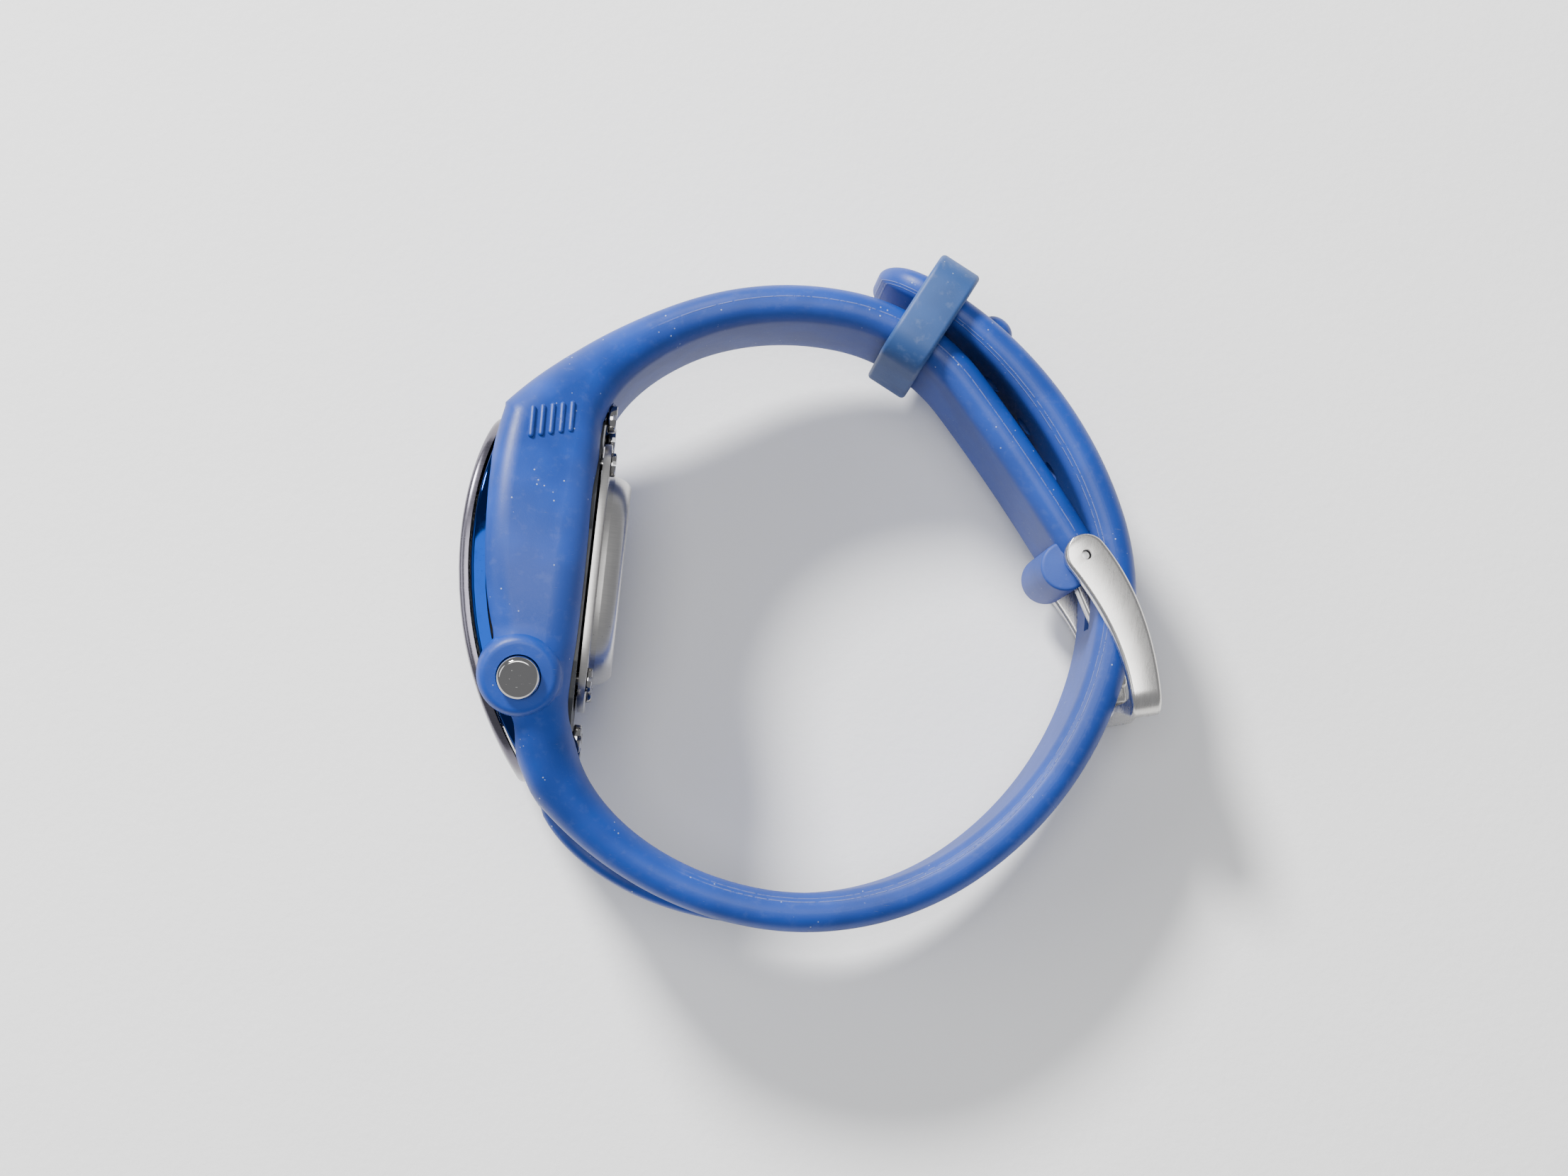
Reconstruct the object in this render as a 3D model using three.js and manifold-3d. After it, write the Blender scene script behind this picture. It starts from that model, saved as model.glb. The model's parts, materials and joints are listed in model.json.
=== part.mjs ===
// A digital sports wristwatch, buckled shut and lying on its 9 o'clock side.
// Design frame, in millimetres: x runs from the dial to the wrist and on to the buckle, y to 12 o'clock,
// z to 3 o'clock, with z = 0 on the watch's middle plane. The whole watch is then turned about y until the
// case and the buckle both rest on the ground, and moved so that the ground is z = 0 under its centre.
import * as THREE from "three";
import { mergeVertices } from "three/addons/utils/BufferGeometryUtils.js";
import Module from "manifold-3d";

const wasm = await Module();
wasm.setup();

// Driving dimensions.
const CLEAR = 0.3; // running and seating gap between separate pieces
const CASE_HALF_WIDTH = 18; // half the case's width across the side rails
const CASE_CENTRE_Y = -1; // where the case is widest
const CASE_TAPER = 0.0125; // how fast the side rails close towards the straps, per mm
const RAIL_REAR_X = -2.5; // wrist side of the side rails
const RAIL_CORNER = 3.2; // rounding of the rails
const FRONT = { x: 43.5, y: 6.1, radius: 57.4 }; // the curve of the watch's front
const FRONT_CENTRE_Y = -3.1; // middle of the bezel
const FRONT_DROOP = 1.6; // how much further the front pieces curl back at the bezel's ends
const STRAP_HALF_WIDTH = 8.5;
const BUCKLE_STRAP_THICKNESS = 4.0;
const TAIL_STRAP_THICKNESS = 4.2;
const TAIL_TIP_THICKNESS = 3.0;
const TAIL_TIP_RADIUS = 6; // rounding of the tail's end, seen from outside
const MID_CASE = { y: -2.5, halfLength: 17.2, halfWidth: 14.9, rearX: -2.3 };
const LUG = { y: 0.1, halfLength: 19.3, halfWidth: 10.5, thickness: 3.2 };
const CAVITY = { y: 0, halfLength: 11.2, halfWidth: 10.4 };
const CRYSTAL = { halfLength: 13.4, halfWidth: 10.4, thickness: 1.0, dome: 0.5 };
const GASKET_WALL = 0.6; // the ring of rubber around the crystal
const BEZEL = { halfLength: 20.0, halfWidth: 16.0, thickness: 1.0, chamfer: 0.6 };
const CHROME_RING = { halfLength: 20.4, halfWidth: 16.4, wall: 3.2, sunk: 0.6, proud: 0.9 };
const LEDGE = { halfLength: 12.6, halfWidth: 9.6, thickness: 0.9 }; // the crystal's seat
const CASEBACK = { y: 0.7, halfLength: 14.4, halfWidth: 12.4, flange: 0.8 };
const BOSS = { halfLength: 11.4, halfWidth: 10.8, wall: 0.7, bevel: 1.2, rise: 1.8 }; // caseback's raised face
const CASEBACK_SCREW = { y: 11.6, z: 8.6, headRadius: 1.3, head: 0.7, shankRadius: 0.7, length: 3.6 };
const STRAP_SCREW = { y: 17.3, z: 7.5, headRadius: 1.5, head: 0.9, shankRadius: 0.7, length: 4.6 };
const DRIVE_SLOT = { width: 0.5, depth: 0.4 };
const PUSHER = { x: -8.1, y: -11.8, capRadius: 2.25, proud: 1.1, capLength: 2.6, stemRadius: 0.75 };
const PUSHER_TRAVEL = 0.8;
const PUSHER_GAP = 0.2; // between a cap and its well
const PUSHER_BOSS = { radius: 3.9, height: 0.9 };
const SPRING_WIRE = 0.28;
const O_RING = { wire: 0.5 };
const BUCKLE = { pinX: 50.6, pinY: 8.2, innerHalfWidth: 8.9, arm: 1.7, widthAtPin: 4.6, widthAtBow: 3.3 };
const BUCKLE_ARM = { length: 17.6, heading: -45, turn: -35 };
const PIN_RADIUS = 0.7;
const KNUCKLE_RADIUS = 2.4;
const KNUCKLE_LOBE = { x: -1.7, y: -1.1, radius: 2.7, half: 7.4 }; // its swelling on the wrist side
const TONGUE = { halfWidth: 1.1, thickness: 1.2, eyeRadius: 1.6 };
const KEEPER = { width: 4.9, wall: 1.4, innerHeight: 10.4 };
const HOLE = { radius: 1.15, pitch: 6.5, slotAt: 99.5, ahead: 4, behind: 1 };
const KEEPER_STOP = { at: 124.2, radius: 1.5, length: 9 };
const GRIP_RIB = { count: 5, pitch: 1.0, length: 3.7, width: 0.6, height: 0.4, x: -9.8, y: 14.9, rise: 0.3 };
const SHOULDER = { fall: 0.25, from: -7, ease: 0.7 }; // how the side falls towards the wrist at the strap's root
const ROOT_RIDGE = { height: 1.2, halfWidth: 5.2, length: 24, start: 1.5 };
const COIN_CELL = { radius: 8, thickness: 1.6 };

// Where the straps run: the outer face as tangent arcs, each with a length and a turn in degrees.
const BUCKLE_STRAP = {
  start: [-12.94, 17.13],
  heading: 51.7,
  side: 1,
  arcs: [[21.7, -24.4], [20.0, -32.9], [16.9, -41.9], [20.7, -5.4]],
};
const TAIL_STRAP = {
  start: [-5.8, -23.52],
  heading: -45.4,
  side: -1,
  arcs: [[27.3, 39.8], [26.2, 45.3], [29.8, 42.5], [16.1, 30.9], [34.2, 44.4], [5.0, -1.3]],
};

const group = new THREE.Group();
const degrees = THREE.MathUtils.degToRad;

const finish = (colour, roughness, metalness = 0) =>
  new THREE.MeshStandardMaterial({ color: colour, roughness, metalness });
const BLUE_RUBBER = finish(0x285fb4, 0.42);
const KEEPER_BLUE = finish(0x4669a5, 0.55);
const BLUE_CHROME = finish(0x16367e, 0.08, 1);
const MAUVE_METAL = finish(0x8a8792, 0.28, 1);
const STEEL = finish(0xbdbab4, 0.3, 1);
const MIRROR_STEEL = finish(0xd8d6d2, 0.08, 1);
const LENS = finish(0xdfe6ea, 0.05);
const BLACK_RUBBER = finish(0x15171c, 0.7);
const DARK_PLASTIC = finish(0x2a2d33, 0.5);
const BOARD_GREEN = finish(0x1f5a3c, 0.5);
const LCD_GREY = finish(0x9aa392, 0.25);
const WHITE_PLASTIC = finish(0xe6e6e0, 0.45);
const BRASS = finish(0xb99a52, 0.3, 1);

// A geometry as a solid for joining and cutting, and back.
function solid(geometry) {
  const bare = geometry.clone();
  for (const name of Object.keys(bare.attributes)) if (name !== "position") bare.deleteAttribute(name);
  const merged = mergeVertices(bare, 1e-4);
  return new wasm.Manifold(
    new wasm.Mesh({
      numProp: 3,
      vertProperties: new Float32Array(merged.attributes.position.array),
      triVerts: new Uint32Array(merged.index.array),
    }),
  );
}

function geometryOf(body) {
  const mesh = body.getMesh();
  const geometry = new THREE.BufferGeometry();
  geometry.setAttribute("position", new THREE.BufferAttribute(mesh.vertProperties, 3));
  geometry.setIndex(new THREE.BufferAttribute(mesh.triVerts, 1));
  geometry.computeVertexNormals();
  return geometry;
}

const joined = (...bodies) => bodies.reduce((all, body) => all.add(body));
const cut = (body, ...tools) => tools.reduce((rest, tool) => rest.subtract(tool), body);

function add(name, shape, material) {
  const geometry = shape.isBufferGeometry ? shape : geometryOf(shape);
  const mesh = new THREE.Mesh(geometry, material);
  mesh.name = name;
  group.add(mesh);
  return mesh;
}

// A closed skin over a row of rings with equal point counts, with flat ends.
function loft(rings) {
  const count = rings[0].length;
  const positions = rings.flat().flatMap((point) => [point.x, point.y, point.z]);
  const triangles = [];
  for (let r = 0; r + 1 < rings.length; r++)
    for (let i = 0; i < count; i++) {
      const j = (i + 1) % count;
      const [a, b, c, d] = [r * count + i, r * count + j, (r + 1) * count + j, (r + 1) * count + i];
      triangles.push(a, b, c, a, c, d);
    }
  const last = (rings.length - 1) * count;
  for (let i = 1; i + 1 < count; i++) {
    triangles.push(0, i + 1, i);
    triangles.push(last, last + i, last + i + 1);
  }
  const geometry = new THREE.BufferGeometry();
  geometry.setAttribute("position", new THREE.Float32BufferAttribute(positions, 3));
  geometry.setIndex(triangles);
  const body = solid(geometry);
  if (body.volume() > 0) return body;
  const turned = [];
  for (let i = 0; i < triangles.length; i += 3) turned.push(triangles[i], triangles[i + 2], triangles[i + 1]);
  geometry.setIndex(turned);
  return solid(geometry);
}

// A rounded slab section across the line from the outer point to the inner point, as wide as it says in z.
function sectionRing(outer, inner, halfWidth, corner, steps = 3) {
  const across = outer.clone().sub(inner);
  const half = across.length() / 2;
  const middle = outer.clone().add(inner).multiplyScalar(0.5);
  across.normalize();
  const radius = Math.min(corner, half * 0.94, halfWidth * 0.94);
  const ring = [];
  for (const [u, w, start] of [[1, 1, 0], [-1, 1, 90], [-1, -1, 180], [1, -1, 270]])
    for (let k = 0; k <= steps; k++) {
      const angle = degrees(start + (90 * k) / steps);
      const along = u * (half - radius) + radius * Math.cos(angle);
      const z = w * (halfWidth - radius) + radius * Math.sin(angle);
      ring.push(new THREE.Vector3(middle.x + across.x * along, middle.y + across.y * along, z));
    }
  return ring;
}

// A point on a run of tangent arcs, with its heading in radians.
function walk(run, distance) {
  let [x, y] = run.start;
  let heading = degrees(run.heading);
  let left = distance;
  run.arcs.forEach(([length, turn], index) => {
    const isLast = index === run.arcs.length - 1;
    const step = isLast ? left : Math.min(left, length);
    const bend = degrees(turn) / length;
    const next = heading + bend * step;
    x += (Math.sin(next) - Math.sin(heading)) / bend;
    y -= (Math.cos(next) - Math.cos(heading)) / bend;
    heading = next;
    left -= step;
  });
  return { point: new THREE.Vector3(x, y, 0), heading };
}

// The outer face's point at a distance along a strap, and the unit direction from there to the wrist side.
function strapFace(run, distance) {
  const { point, heading } = walk(run, distance);
  const inward = new THREE.Vector3(run.side * Math.sin(heading), -run.side * Math.cos(heading), 0);
  return { point, inward, heading };
}

const runLength = (run) => run.arcs.reduce((sum, [length]) => sum + length, 0);
const railHalfWidth = (y) => CASE_HALF_WIDTH - CASE_TAPER * (y - CASE_CENTRE_Y) ** 2;

// The larger of two widths, with a soft change between them.
function softLarger(a, b, softness = 1.2) {
  return softness * Math.log(Math.exp(a / softness) + Math.exp(b / softness));
}

// The moulding's wrist side behind the case, which curls back at the 6 o'clock end.
function rearX(y) {
  const curlStart = -13;
  return RAIL_REAR_X + (y < curlStart ? 0.038 * (y - curlStart) ** 2 : 0);
}

const ROOT_REACH = 26; // how far along a strap the case's width still shows
const stationWidth = (outer, inner, distance) =>
  distance > ROOT_REACH
    ? STRAP_HALF_WIDTH
    : softLarger(STRAP_HALF_WIDTH - 0.1, Math.min(railHalfWidth((outer.y + inner.y) / 2), CASE_HALF_WIDTH));

function buckleStrapStation(distance) {
  const { point, inward } = strapFace(BUCKLE_STRAP, distance);
  const rootThickness = 12.5 * Math.exp(-distance / 6.6);
  const toRear = (RAIL_REAR_X - point.x) / Math.max(inward.x, 1e-6);
  const free = BUCKLE_STRAP_THICKNESS + rootThickness;
  const thickness = distance < 8 ? Math.min(free, toRear) : free;
  return { outer: point, inner: point.clone().addScaledVector(inward, thickness) };
}

const tailLength = runLength(TAIL_STRAP);
function tailStrapStation(distance) {
  const { point, inward } = strapFace(TAIL_STRAP, distance);
  const rootThickness = 2.3 * Math.exp(-distance / 7);
  const thinning = THREE.MathUtils.smoothstep(distance, tailLength - 30, tailLength);
  const body = THREE.MathUtils.lerp(TAIL_STRAP_THICKNESS, TAIL_TIP_THICKNESS, thinning);
  return { outer: point, inner: point.clone().addScaledVector(inward, body + rootThickness) };
}

// The strap moulding in one skin: tail tip, tail strap, case surround, buckle strap.
function mouldingSkin() {
  const rings = [];
  const push = ({ outer, inner }, halfWidth) =>
    rings.push(sectionRing(outer, inner, halfWidth, RAIL_CORNER));
  for (const share of [0.02, 0.12, 0.3, 0.6]) {
    const back = TAIL_TIP_RADIUS * share;
    const station = tailStrapStation(tailLength - back);
    const round = Math.sqrt(1 - (1 - share) ** 2);
    const narrow = STRAP_HALF_WIDTH - TAIL_TIP_RADIUS * (1 - round);
    const middle = station.outer.clone().lerp(station.inner, 0.5);
    const full = Math.min(1, 0.45 + share);
    push({ outer: middle.clone().lerp(station.outer, full), inner: middle.clone().lerp(station.inner, full) }, narrow);
  }
  const tailSteps = 30;
  for (let i = tailSteps; i > 0; i--) {
    const distance = ((tailLength - TAIL_TIP_RADIUS) * i) / tailSteps;
    const station = tailStrapStation(distance);
    push(station, stationWidth(station.outer, station.inner, distance));
  }
  const low = tailStrapStation(0);
  const high = buckleStrapStation(0);
  const angleOf = (point) => Math.asin((point.y - FRONT.y) / FRONT.radius);
  const caseSteps = 10;
  for (let i = 0; i < caseSteps; i++) {
    const share = i / caseSteps;
    const angle = THREE.MathUtils.lerp(angleOf(low.outer), angleOf(high.outer), share);
    const outer = new THREE.Vector3(
      FRONT.x - FRONT.radius * Math.cos(angle),
      FRONT.y + FRONT.radius * Math.sin(angle),
      0,
    );
    const y = THREE.MathUtils.lerp(low.inner.y, high.inner.y, share);
    push({ outer, inner: new THREE.Vector3(rearX(y), y, 0) }, stationWidth(outer, { y }, 0));
  }
  const knuckleAt = runLength(BUCKLE_STRAP) + 1;
  const buckleSteps = 20;
  for (let i = 0; i <= buckleSteps; i++) {
    const distance = (knuckleAt * i) / buckleSteps;
    const station = buckleStrapStation(distance);
    push(station, stationWidth(station.outer, station.inner, distance));
  }
  return loft(rings);
}

// A closed outline across the watch, from 12 to 6 o'clock and from side to side.
function outline({ y = 0, halfLength, halfWidth, power = 3 }, grow = 0, count = 24) {
  const points = [];
  for (let i = 0; i < count; i++) {
    const angle = (2 * Math.PI * i) / count;
    const [c, s] = [Math.cos(angle), Math.sin(angle)];
    points.push(
      new THREE.Vector2(
        y + (halfLength + grow) * Math.sign(c) * Math.abs(c) ** (2 / power),
        (halfWidth + grow) * Math.sign(s) * Math.abs(s) ** (2 / power),
      ),
    );
  }
  return new THREE.Shape(points);
}

// Stands a shape drawn in (y, z) up along x.
const ALONG_X = new THREE.Matrix4().makeBasis(
  new THREE.Vector3(0, 1, 0),
  new THREE.Vector3(0, 0, 1),
  new THREE.Vector3(1, 0, 0),
);

function plateGeometry(shape, fromX, toX) {
  return new THREE.ExtrudeGeometry(shape, { depth: toX - fromX, bevelEnabled: false, curveSegments: 12 })
    .applyMatrix4(ALONG_X)
    .translate(fromX, 0, 0);
}
const plate = (shape, fromX, toX) => solid(plateGeometry(shape, fromX, toX));

const box = (fromX, toX, fromY, toY, fromZ, toZ) =>
  solid(
    new THREE.BoxGeometry(toX - fromX, toY - fromY, toZ - fromZ).translate(
      (fromX + toX) / 2,
      (fromY + toY) / 2,
      (fromZ + toZ) / 2,
    ),
  );

// A rod or bore along x.
const rodX = (radius, fromX, toX, y, z, sides = 16) =>
  solid(
    new THREE.CylinderGeometry(radius, radius, toX - fromX, sides)
      .rotateZ(-Math.PI / 2)
      .translate((fromX + toX) / 2, y, z),
  );

// A rod or bore along z.
const rodZ = (radius, fromZ, toZ, x, y, sides = 20) =>
  solid(
    new THREE.CylinderGeometry(radius, radius, toZ - fromZ, sides)
      .rotateX(Math.PI / 2)
      .translate(x, y, (fromZ + toZ) / 2),
  );

// A plate that follows the watch's curved front, between two radii of that curve.
const frontAngle = Math.asin((FRONT_CENTRE_Y - FRONT.y) / FRONT.radius);
function curvedPlate({ halfLength, halfWidth, from, to, chamfer = 0.01, dome = 0 }, steps = 10) {
  const rings = [];
  for (let i = 0; i <= steps; i++) {
    const sweep = degrees(-80 + (160 * i) / steps);
    const along = Math.sin(sweep);
    const half = halfWidth * (1 - Math.abs(along) ** 3) ** (1 / 3);
    const angle = frontAngle + (along * halfLength) / FRONT.radius;
    const rise = dome * (1 - along ** 2);
    const droop = FRONT_DROOP * ((along * halfLength) / CHROME_RING.halfLength) ** 2;
    const bevel = Math.min(chamfer, half * 0.6);
    const profile = [
      [-half, from], [-half, to - chamfer], [-half + bevel, to], [-half / 2, to + 0.8 * rise], [0, to + rise],
      [half / 2, to + 0.8 * rise], [half - bevel, to], [half, to - chamfer], [half, from], [0, from],
    ];
    rings.push(
      profile.map(
        ([z, radius]) =>
          new THREE.Vector3(
            FRONT.x - (radius - droop) * Math.cos(angle),
            FRONT.y + (radius - droop) * Math.sin(angle),
            z,
          ),
      ),
    );
  }
  return loft(rings);
}

// The stack of curved pieces, each a clearance above the one under it.
const ringBottom = FRONT.radius - CHROME_RING.sunk;
const ringTop = FRONT.radius + CHROME_RING.proud;
const bezelBottom = ringTop + CLEAR;
const bezelTop = bezelBottom + BEZEL.thickness;
const ringHole = {
  halfLength: CHROME_RING.halfLength - CHROME_RING.wall,
  halfWidth: CHROME_RING.halfWidth - CHROME_RING.wall,
};
const bezelHole = {
  halfLength: CRYSTAL.halfLength + GASKET_WALL + 2 * CLEAR,
  halfWidth: CRYSTAL.halfWidth + GASKET_WALL + 2 * CLEAR,
};
const gasketOuter = { halfLength: bezelHole.halfLength - CLEAR, halfWidth: bezelHole.halfWidth - CLEAR };
const gasketInner = { halfLength: CRYSTAL.halfLength + CLEAR, halfWidth: CRYSTAL.halfWidth + CLEAR };
const shrink = ({ halfLength, halfWidth }, by) => ({ halfLength: halfLength - by, halfWidth: halfWidth - by });
const FAR_OUT = FRONT.radius + 6;

function chromeRing(grow = 0) {
  const top = ringTop + (grow > 0 ? CHROME_RING.proud * 3 : 0);
  const body = curvedPlate({ ...shrink(CHROME_RING, -grow), from: ringBottom - grow, to: top, chamfer: 0.3 });
  return cut(body, curvedPlate({ ...shrink(ringHole, grow), from: ringBottom - 2, to: FAR_OUT }));
}

const bezel = cut(
  curvedPlate({ ...BEZEL, from: bezelBottom, to: bezelTop, chamfer: BEZEL.chamfer, dome: 0.2 }, 12),
  curvedPlate({ ...bezelHole, from: bezelBottom - 2, to: FAR_OUT }),
);
const crystal = curvedPlate({
  ...CRYSTAL,
  from: bezelBottom,
  to: bezelBottom + CRYSTAL.thickness,
  chamfer: 0.25,
  dome: CRYSTAL.dome,
});
const crystalGasket = cut(
  curvedPlate({ ...gasketOuter, from: bezelBottom, to: bezelTop - 0.1 }),
  curvedPlate({ ...gasketInner, from: bezelBottom - 2, to: FAR_OUT }),
);

// One pusher's frame: z out of the case side, square to the side rail where it stands.
function pusherFrame(y, side) {
  const slope = 2 * CASE_TAPER * (y - CASE_CENTRE_Y);
  const out = new THREE.Vector3(0, slope, 1).normalize();
  out.z *= side;
  const across = new THREE.Vector3(1, 0, 0);
  const up = new THREE.Vector3().crossVectors(out, across);
  const place = new THREE.Matrix4().makeBasis(across, up, out);
  const seat = new THREE.Vector3(PUSHER.x, y, side * railHalfWidth(y));
  return place.setPosition(seat.addScaledVector(out, PUSHER_BOSS.height));
}

const mirrorY = 2 * FRONT_CENTRE_Y - PUSHER.y;
const pushers = [
  { name: "pusher_4", frame: pusherFrame(PUSHER.y, 1) },
  { name: "pusher_8", frame: pusherFrame(PUSHER.y, -1) },
  { name: "pusher_10", frame: pusherFrame(mirrorY, -1) },
];
const capBottom = PUSHER.proud - PUSHER.capLength;
const wellFloor = capBottom - PUSHER_TRAVEL - 1.9; // leaves room for the closed spring
const wellRadius = PUSHER.capRadius + PUSHER_GAP;
const stemBore = PUSHER.stemRadius + CLEAR;
const ringSeat = wellFloor - O_RING.wire - 2 * CLEAR;
const circlipAt = ringSeat - 3.2; // inside the watch body's wall
const stemEnd = circlipAt - 0.8;

// A turned piece or bore about a pusher's axis, from [radius, height] corners.
const turned = (corners, sides = 16) =>
  solid(new THREE.LatheGeometry(corners.map(([r, h]) => new THREE.Vector2(r, h)), sides).rotateX(Math.PI / 2));
const placed = (body, frame) => solid(geometryOf(body).applyMatrix4(frame));

const pusherBossBody = turned([
  [0, -2.4], [PUSHER_BOSS.radius + 0.9, -2.4], [PUSHER_BOSS.radius + 0.5, -0.6], [PUSHER_BOSS.radius, -0.15],
  [PUSHER_BOSS.radius - 0.4, 0], [0, 0],
]);
const pusherBore = turned([
  [0, stemEnd - 3], [stemBore, stemEnd - 3], [stemBore, ringSeat], [stemBore + O_RING.wire, ringSeat],
  [stemBore + O_RING.wire, wellFloor], [wellRadius, wellFloor], [wellRadius, 4], [0, 4],
]);

// The moulding, cut for everything that it holds.
function caseEnvelope(grow) {
  const tub = plate(outline({ ...MID_CASE, power: 3 }, grow), FRONT.x - FAR_OUT, 6);
  const lugs = plate(outline({ ...LUG, power: 4 }, grow), MID_CASE.rearX - LUG.thickness - grow, 6);
  return joined(tub, lugs);
}

const knuckle = { x: BUCKLE.pinX, y: BUCKLE.pinY };
function knuckleBarrel() {
  const steps = [[KNUCKLE_RADIUS - 0.7, 8.2], [KNUCKLE_RADIUS - 0.35, 7.8], [KNUCKLE_RADIUS, 7.4]];
  const { radius, half } = KNUCKLE_LOBE;
  const lobe = rodZ(radius, -half, half, knuckle.x + KNUCKLE_LOBE.x, knuckle.y + KNUCKLE_LOBE.y, 20);
  return joined(lobe, ...steps.map(([r, h]) => rodZ(r, -h, h, knuckle.x, knuckle.y, 20)));
}

// The buckle's side view: arms that taper along an arc from the pin to the bow.
const armRun = {
  start: [BUCKLE.pinX, BUCKLE.pinY],
  heading: BUCKLE_ARM.heading,
  side: 1,
  arcs: [[BUCKLE_ARM.length, BUCKLE_ARM.turn]],
};
const bowAt = walk(armRun, BUCKLE_ARM.length).point;
function armShape() {
  const steps = 8;
  const left = [];
  const right = [];
  for (let i = 0; i <= steps; i++) {
    const share = i / steps;
    const { point, inward } = strapFace(armRun, BUCKLE_ARM.length * share);
    const half = THREE.MathUtils.lerp(BUCKLE.widthAtPin, BUCKLE.widthAtBow, share) / 2;
    left.push(new THREE.Vector2(point.x + inward.x * half, point.y + inward.y * half));
    right.unshift(new THREE.Vector2(point.x - inward.x * half, point.y - inward.y * half));
  }
  const roundEnd = (centre, radius, from) =>
    [1, 2, 3, 4, 5].map((k) => {
      const angle = from + (Math.PI * k) / 6;
      return new THREE.Vector2(centre.x + radius * Math.cos(angle), centre.y + radius * Math.sin(angle));
    });
  const startHeading = degrees(BUCKLE_ARM.heading);
  const endHeading = degrees(BUCKLE_ARM.heading + BUCKLE_ARM.turn);
  const bowEnd = roundEnd(bowAt, BUCKLE.widthAtBow / 2, endHeading - Math.PI / 2);
  const pinEnd = roundEnd(knuckle, BUCKLE.widthAtPin / 2, startHeading + Math.PI / 2);
  return new THREE.Shape([...left, ...bowEnd, ...right, ...pinEnd]);
}

const armBevel = 0.35;
function buckleArm(side) {
  const depth = BUCKLE.arm - 2 * armBevel;
  const geometry = new THREE.ExtrudeGeometry(armShape(), {
    depth,
    bevelEnabled: true,
    bevelThickness: armBevel,
    bevelSize: armBevel,
    bevelOffset: -armBevel,
    bevelSegments: 1,
  });
  const middle = BUCKLE.innerHalfWidth + BUCKLE.arm / 2;
  return solid(geometry.translate(0, 0, side * middle - depth / 2));
}

const buckleOuterHalf = BUCKLE.innerHalfWidth + BUCKLE.arm;
const crossbar = rodZ(BUCKLE.widthAtBow / 2, -BUCKLE.innerHalfWidth - 0.5, BUCKLE.innerHalfWidth + 0.5, bowAt.x, bowAt.y);
const buckleFrame = cut(
  joined(buckleArm(1), buckleArm(-1), crossbar),
  rodZ(PIN_RADIUS + CLEAR, -buckleOuterHalf - 1, buckleOuterHalf + 1, knuckle.x, knuckle.y),
);

// The tongue: an eye on the pin and a bar through the tail strap to just short of the bow.
const tongueAim = new THREE.Vector3(bowAt.x - 0.9, bowAt.y + BUCKLE.widthAtBow / 2 + TONGUE.thickness / 2 + 0.2, 0);
const tongueLine = tongueAim.clone().sub(new THREE.Vector3(knuckle.x, knuckle.y, 0));
const tongueAngle = Math.atan2(tongueLine.y, tongueLine.x);
function tongueBar(halfWidth, thickness, from, to) {
  return solid(
    new THREE.BoxGeometry(to - from, thickness, 2 * halfWidth)
      .translate((from + to) / 2, 0, 0)
      .rotateZ(tongueAngle)
      .translate(knuckle.x, knuckle.y, 0),
  );
}
const tongueReach = tongueLine.length();
const tongue = cut(
  joined(
    rodZ(TONGUE.eyeRadius, -TONGUE.halfWidth, TONGUE.halfWidth, knuckle.x, knuckle.y),
    tongueBar(TONGUE.halfWidth * 0.98, TONGUE.thickness, 0.5, tongueReach),
  ),
  rodZ(PIN_RADIUS + CLEAR, -3, 3, knuckle.x, knuckle.y),
);
const tonguePlay = 0.7;
const tongueSlot = joined(
  rodZ(KNUCKLE_RADIUS + 1, -TONGUE.halfWidth - 0.4, TONGUE.halfWidth + 0.4, knuckle.x, knuckle.y),
  tongueBar(TONGUE.halfWidth + 0.4, TONGUE.thickness + 2 * tonguePlay, 0, tongueReach + 1),
);

// Adjustment holes in the tail strap, square to it and clear of the slot that the tongue is in.
function tailHole(distance) {
  const { point, inward } = strapFace(TAIL_STRAP, distance);
  const bore = new THREE.CylinderGeometry(HOLE.radius, HOLE.radius, 12, 8);
  const turn = new THREE.Quaternion().setFromUnitVectors(new THREE.Vector3(0, 1, 0), inward);
  return solid(bore.applyQuaternion(turn).translate(point.x, point.y, 0));
}
const tailHoles = [];
for (let i = -HOLE.behind; i <= HOLE.ahead; i++) {
  if (i !== 0) tailHoles.push(tailHole(HOLE.slotAt + i * HOLE.pitch + Math.sign(i) * 1.5));
}

// The keeper's frame: x along the straps, y outwards across them.
const keeperAt = 50.2; // along the buckle strap's outer face
const keeperFace = strapFace(BUCKLE_STRAP, keeperAt);
const keeperCentre = keeperFace.point
  .clone()
  .addScaledVector(keeperFace.inward, BUCKLE_STRAP_THICKNESS - KEEPER.innerHeight / 2 + 0.4);
const keeperTurn = keeperFace.heading;
function keeperOutline(halfHeight, halfWidth, corner) {
  const shape = new THREE.Shape();
  shape.moveTo(-halfHeight + corner, -halfWidth);
  shape.lineTo(halfHeight - corner, -halfWidth);
  shape.absarc(halfHeight - corner, -halfWidth + corner, corner, -Math.PI / 2, 0);
  shape.lineTo(halfHeight, halfWidth - corner);
  shape.absarc(halfHeight - corner, halfWidth - corner, corner, 0, Math.PI / 2);
  shape.lineTo(-halfHeight + corner, halfWidth);
  shape.absarc(-halfHeight + corner, halfWidth - corner, corner, Math.PI / 2, Math.PI);
  shape.lineTo(-halfHeight, -halfWidth + corner);
  shape.absarc(-halfHeight + corner, -halfWidth + corner, corner, Math.PI, 1.5 * Math.PI);
  return shape;
}
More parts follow.
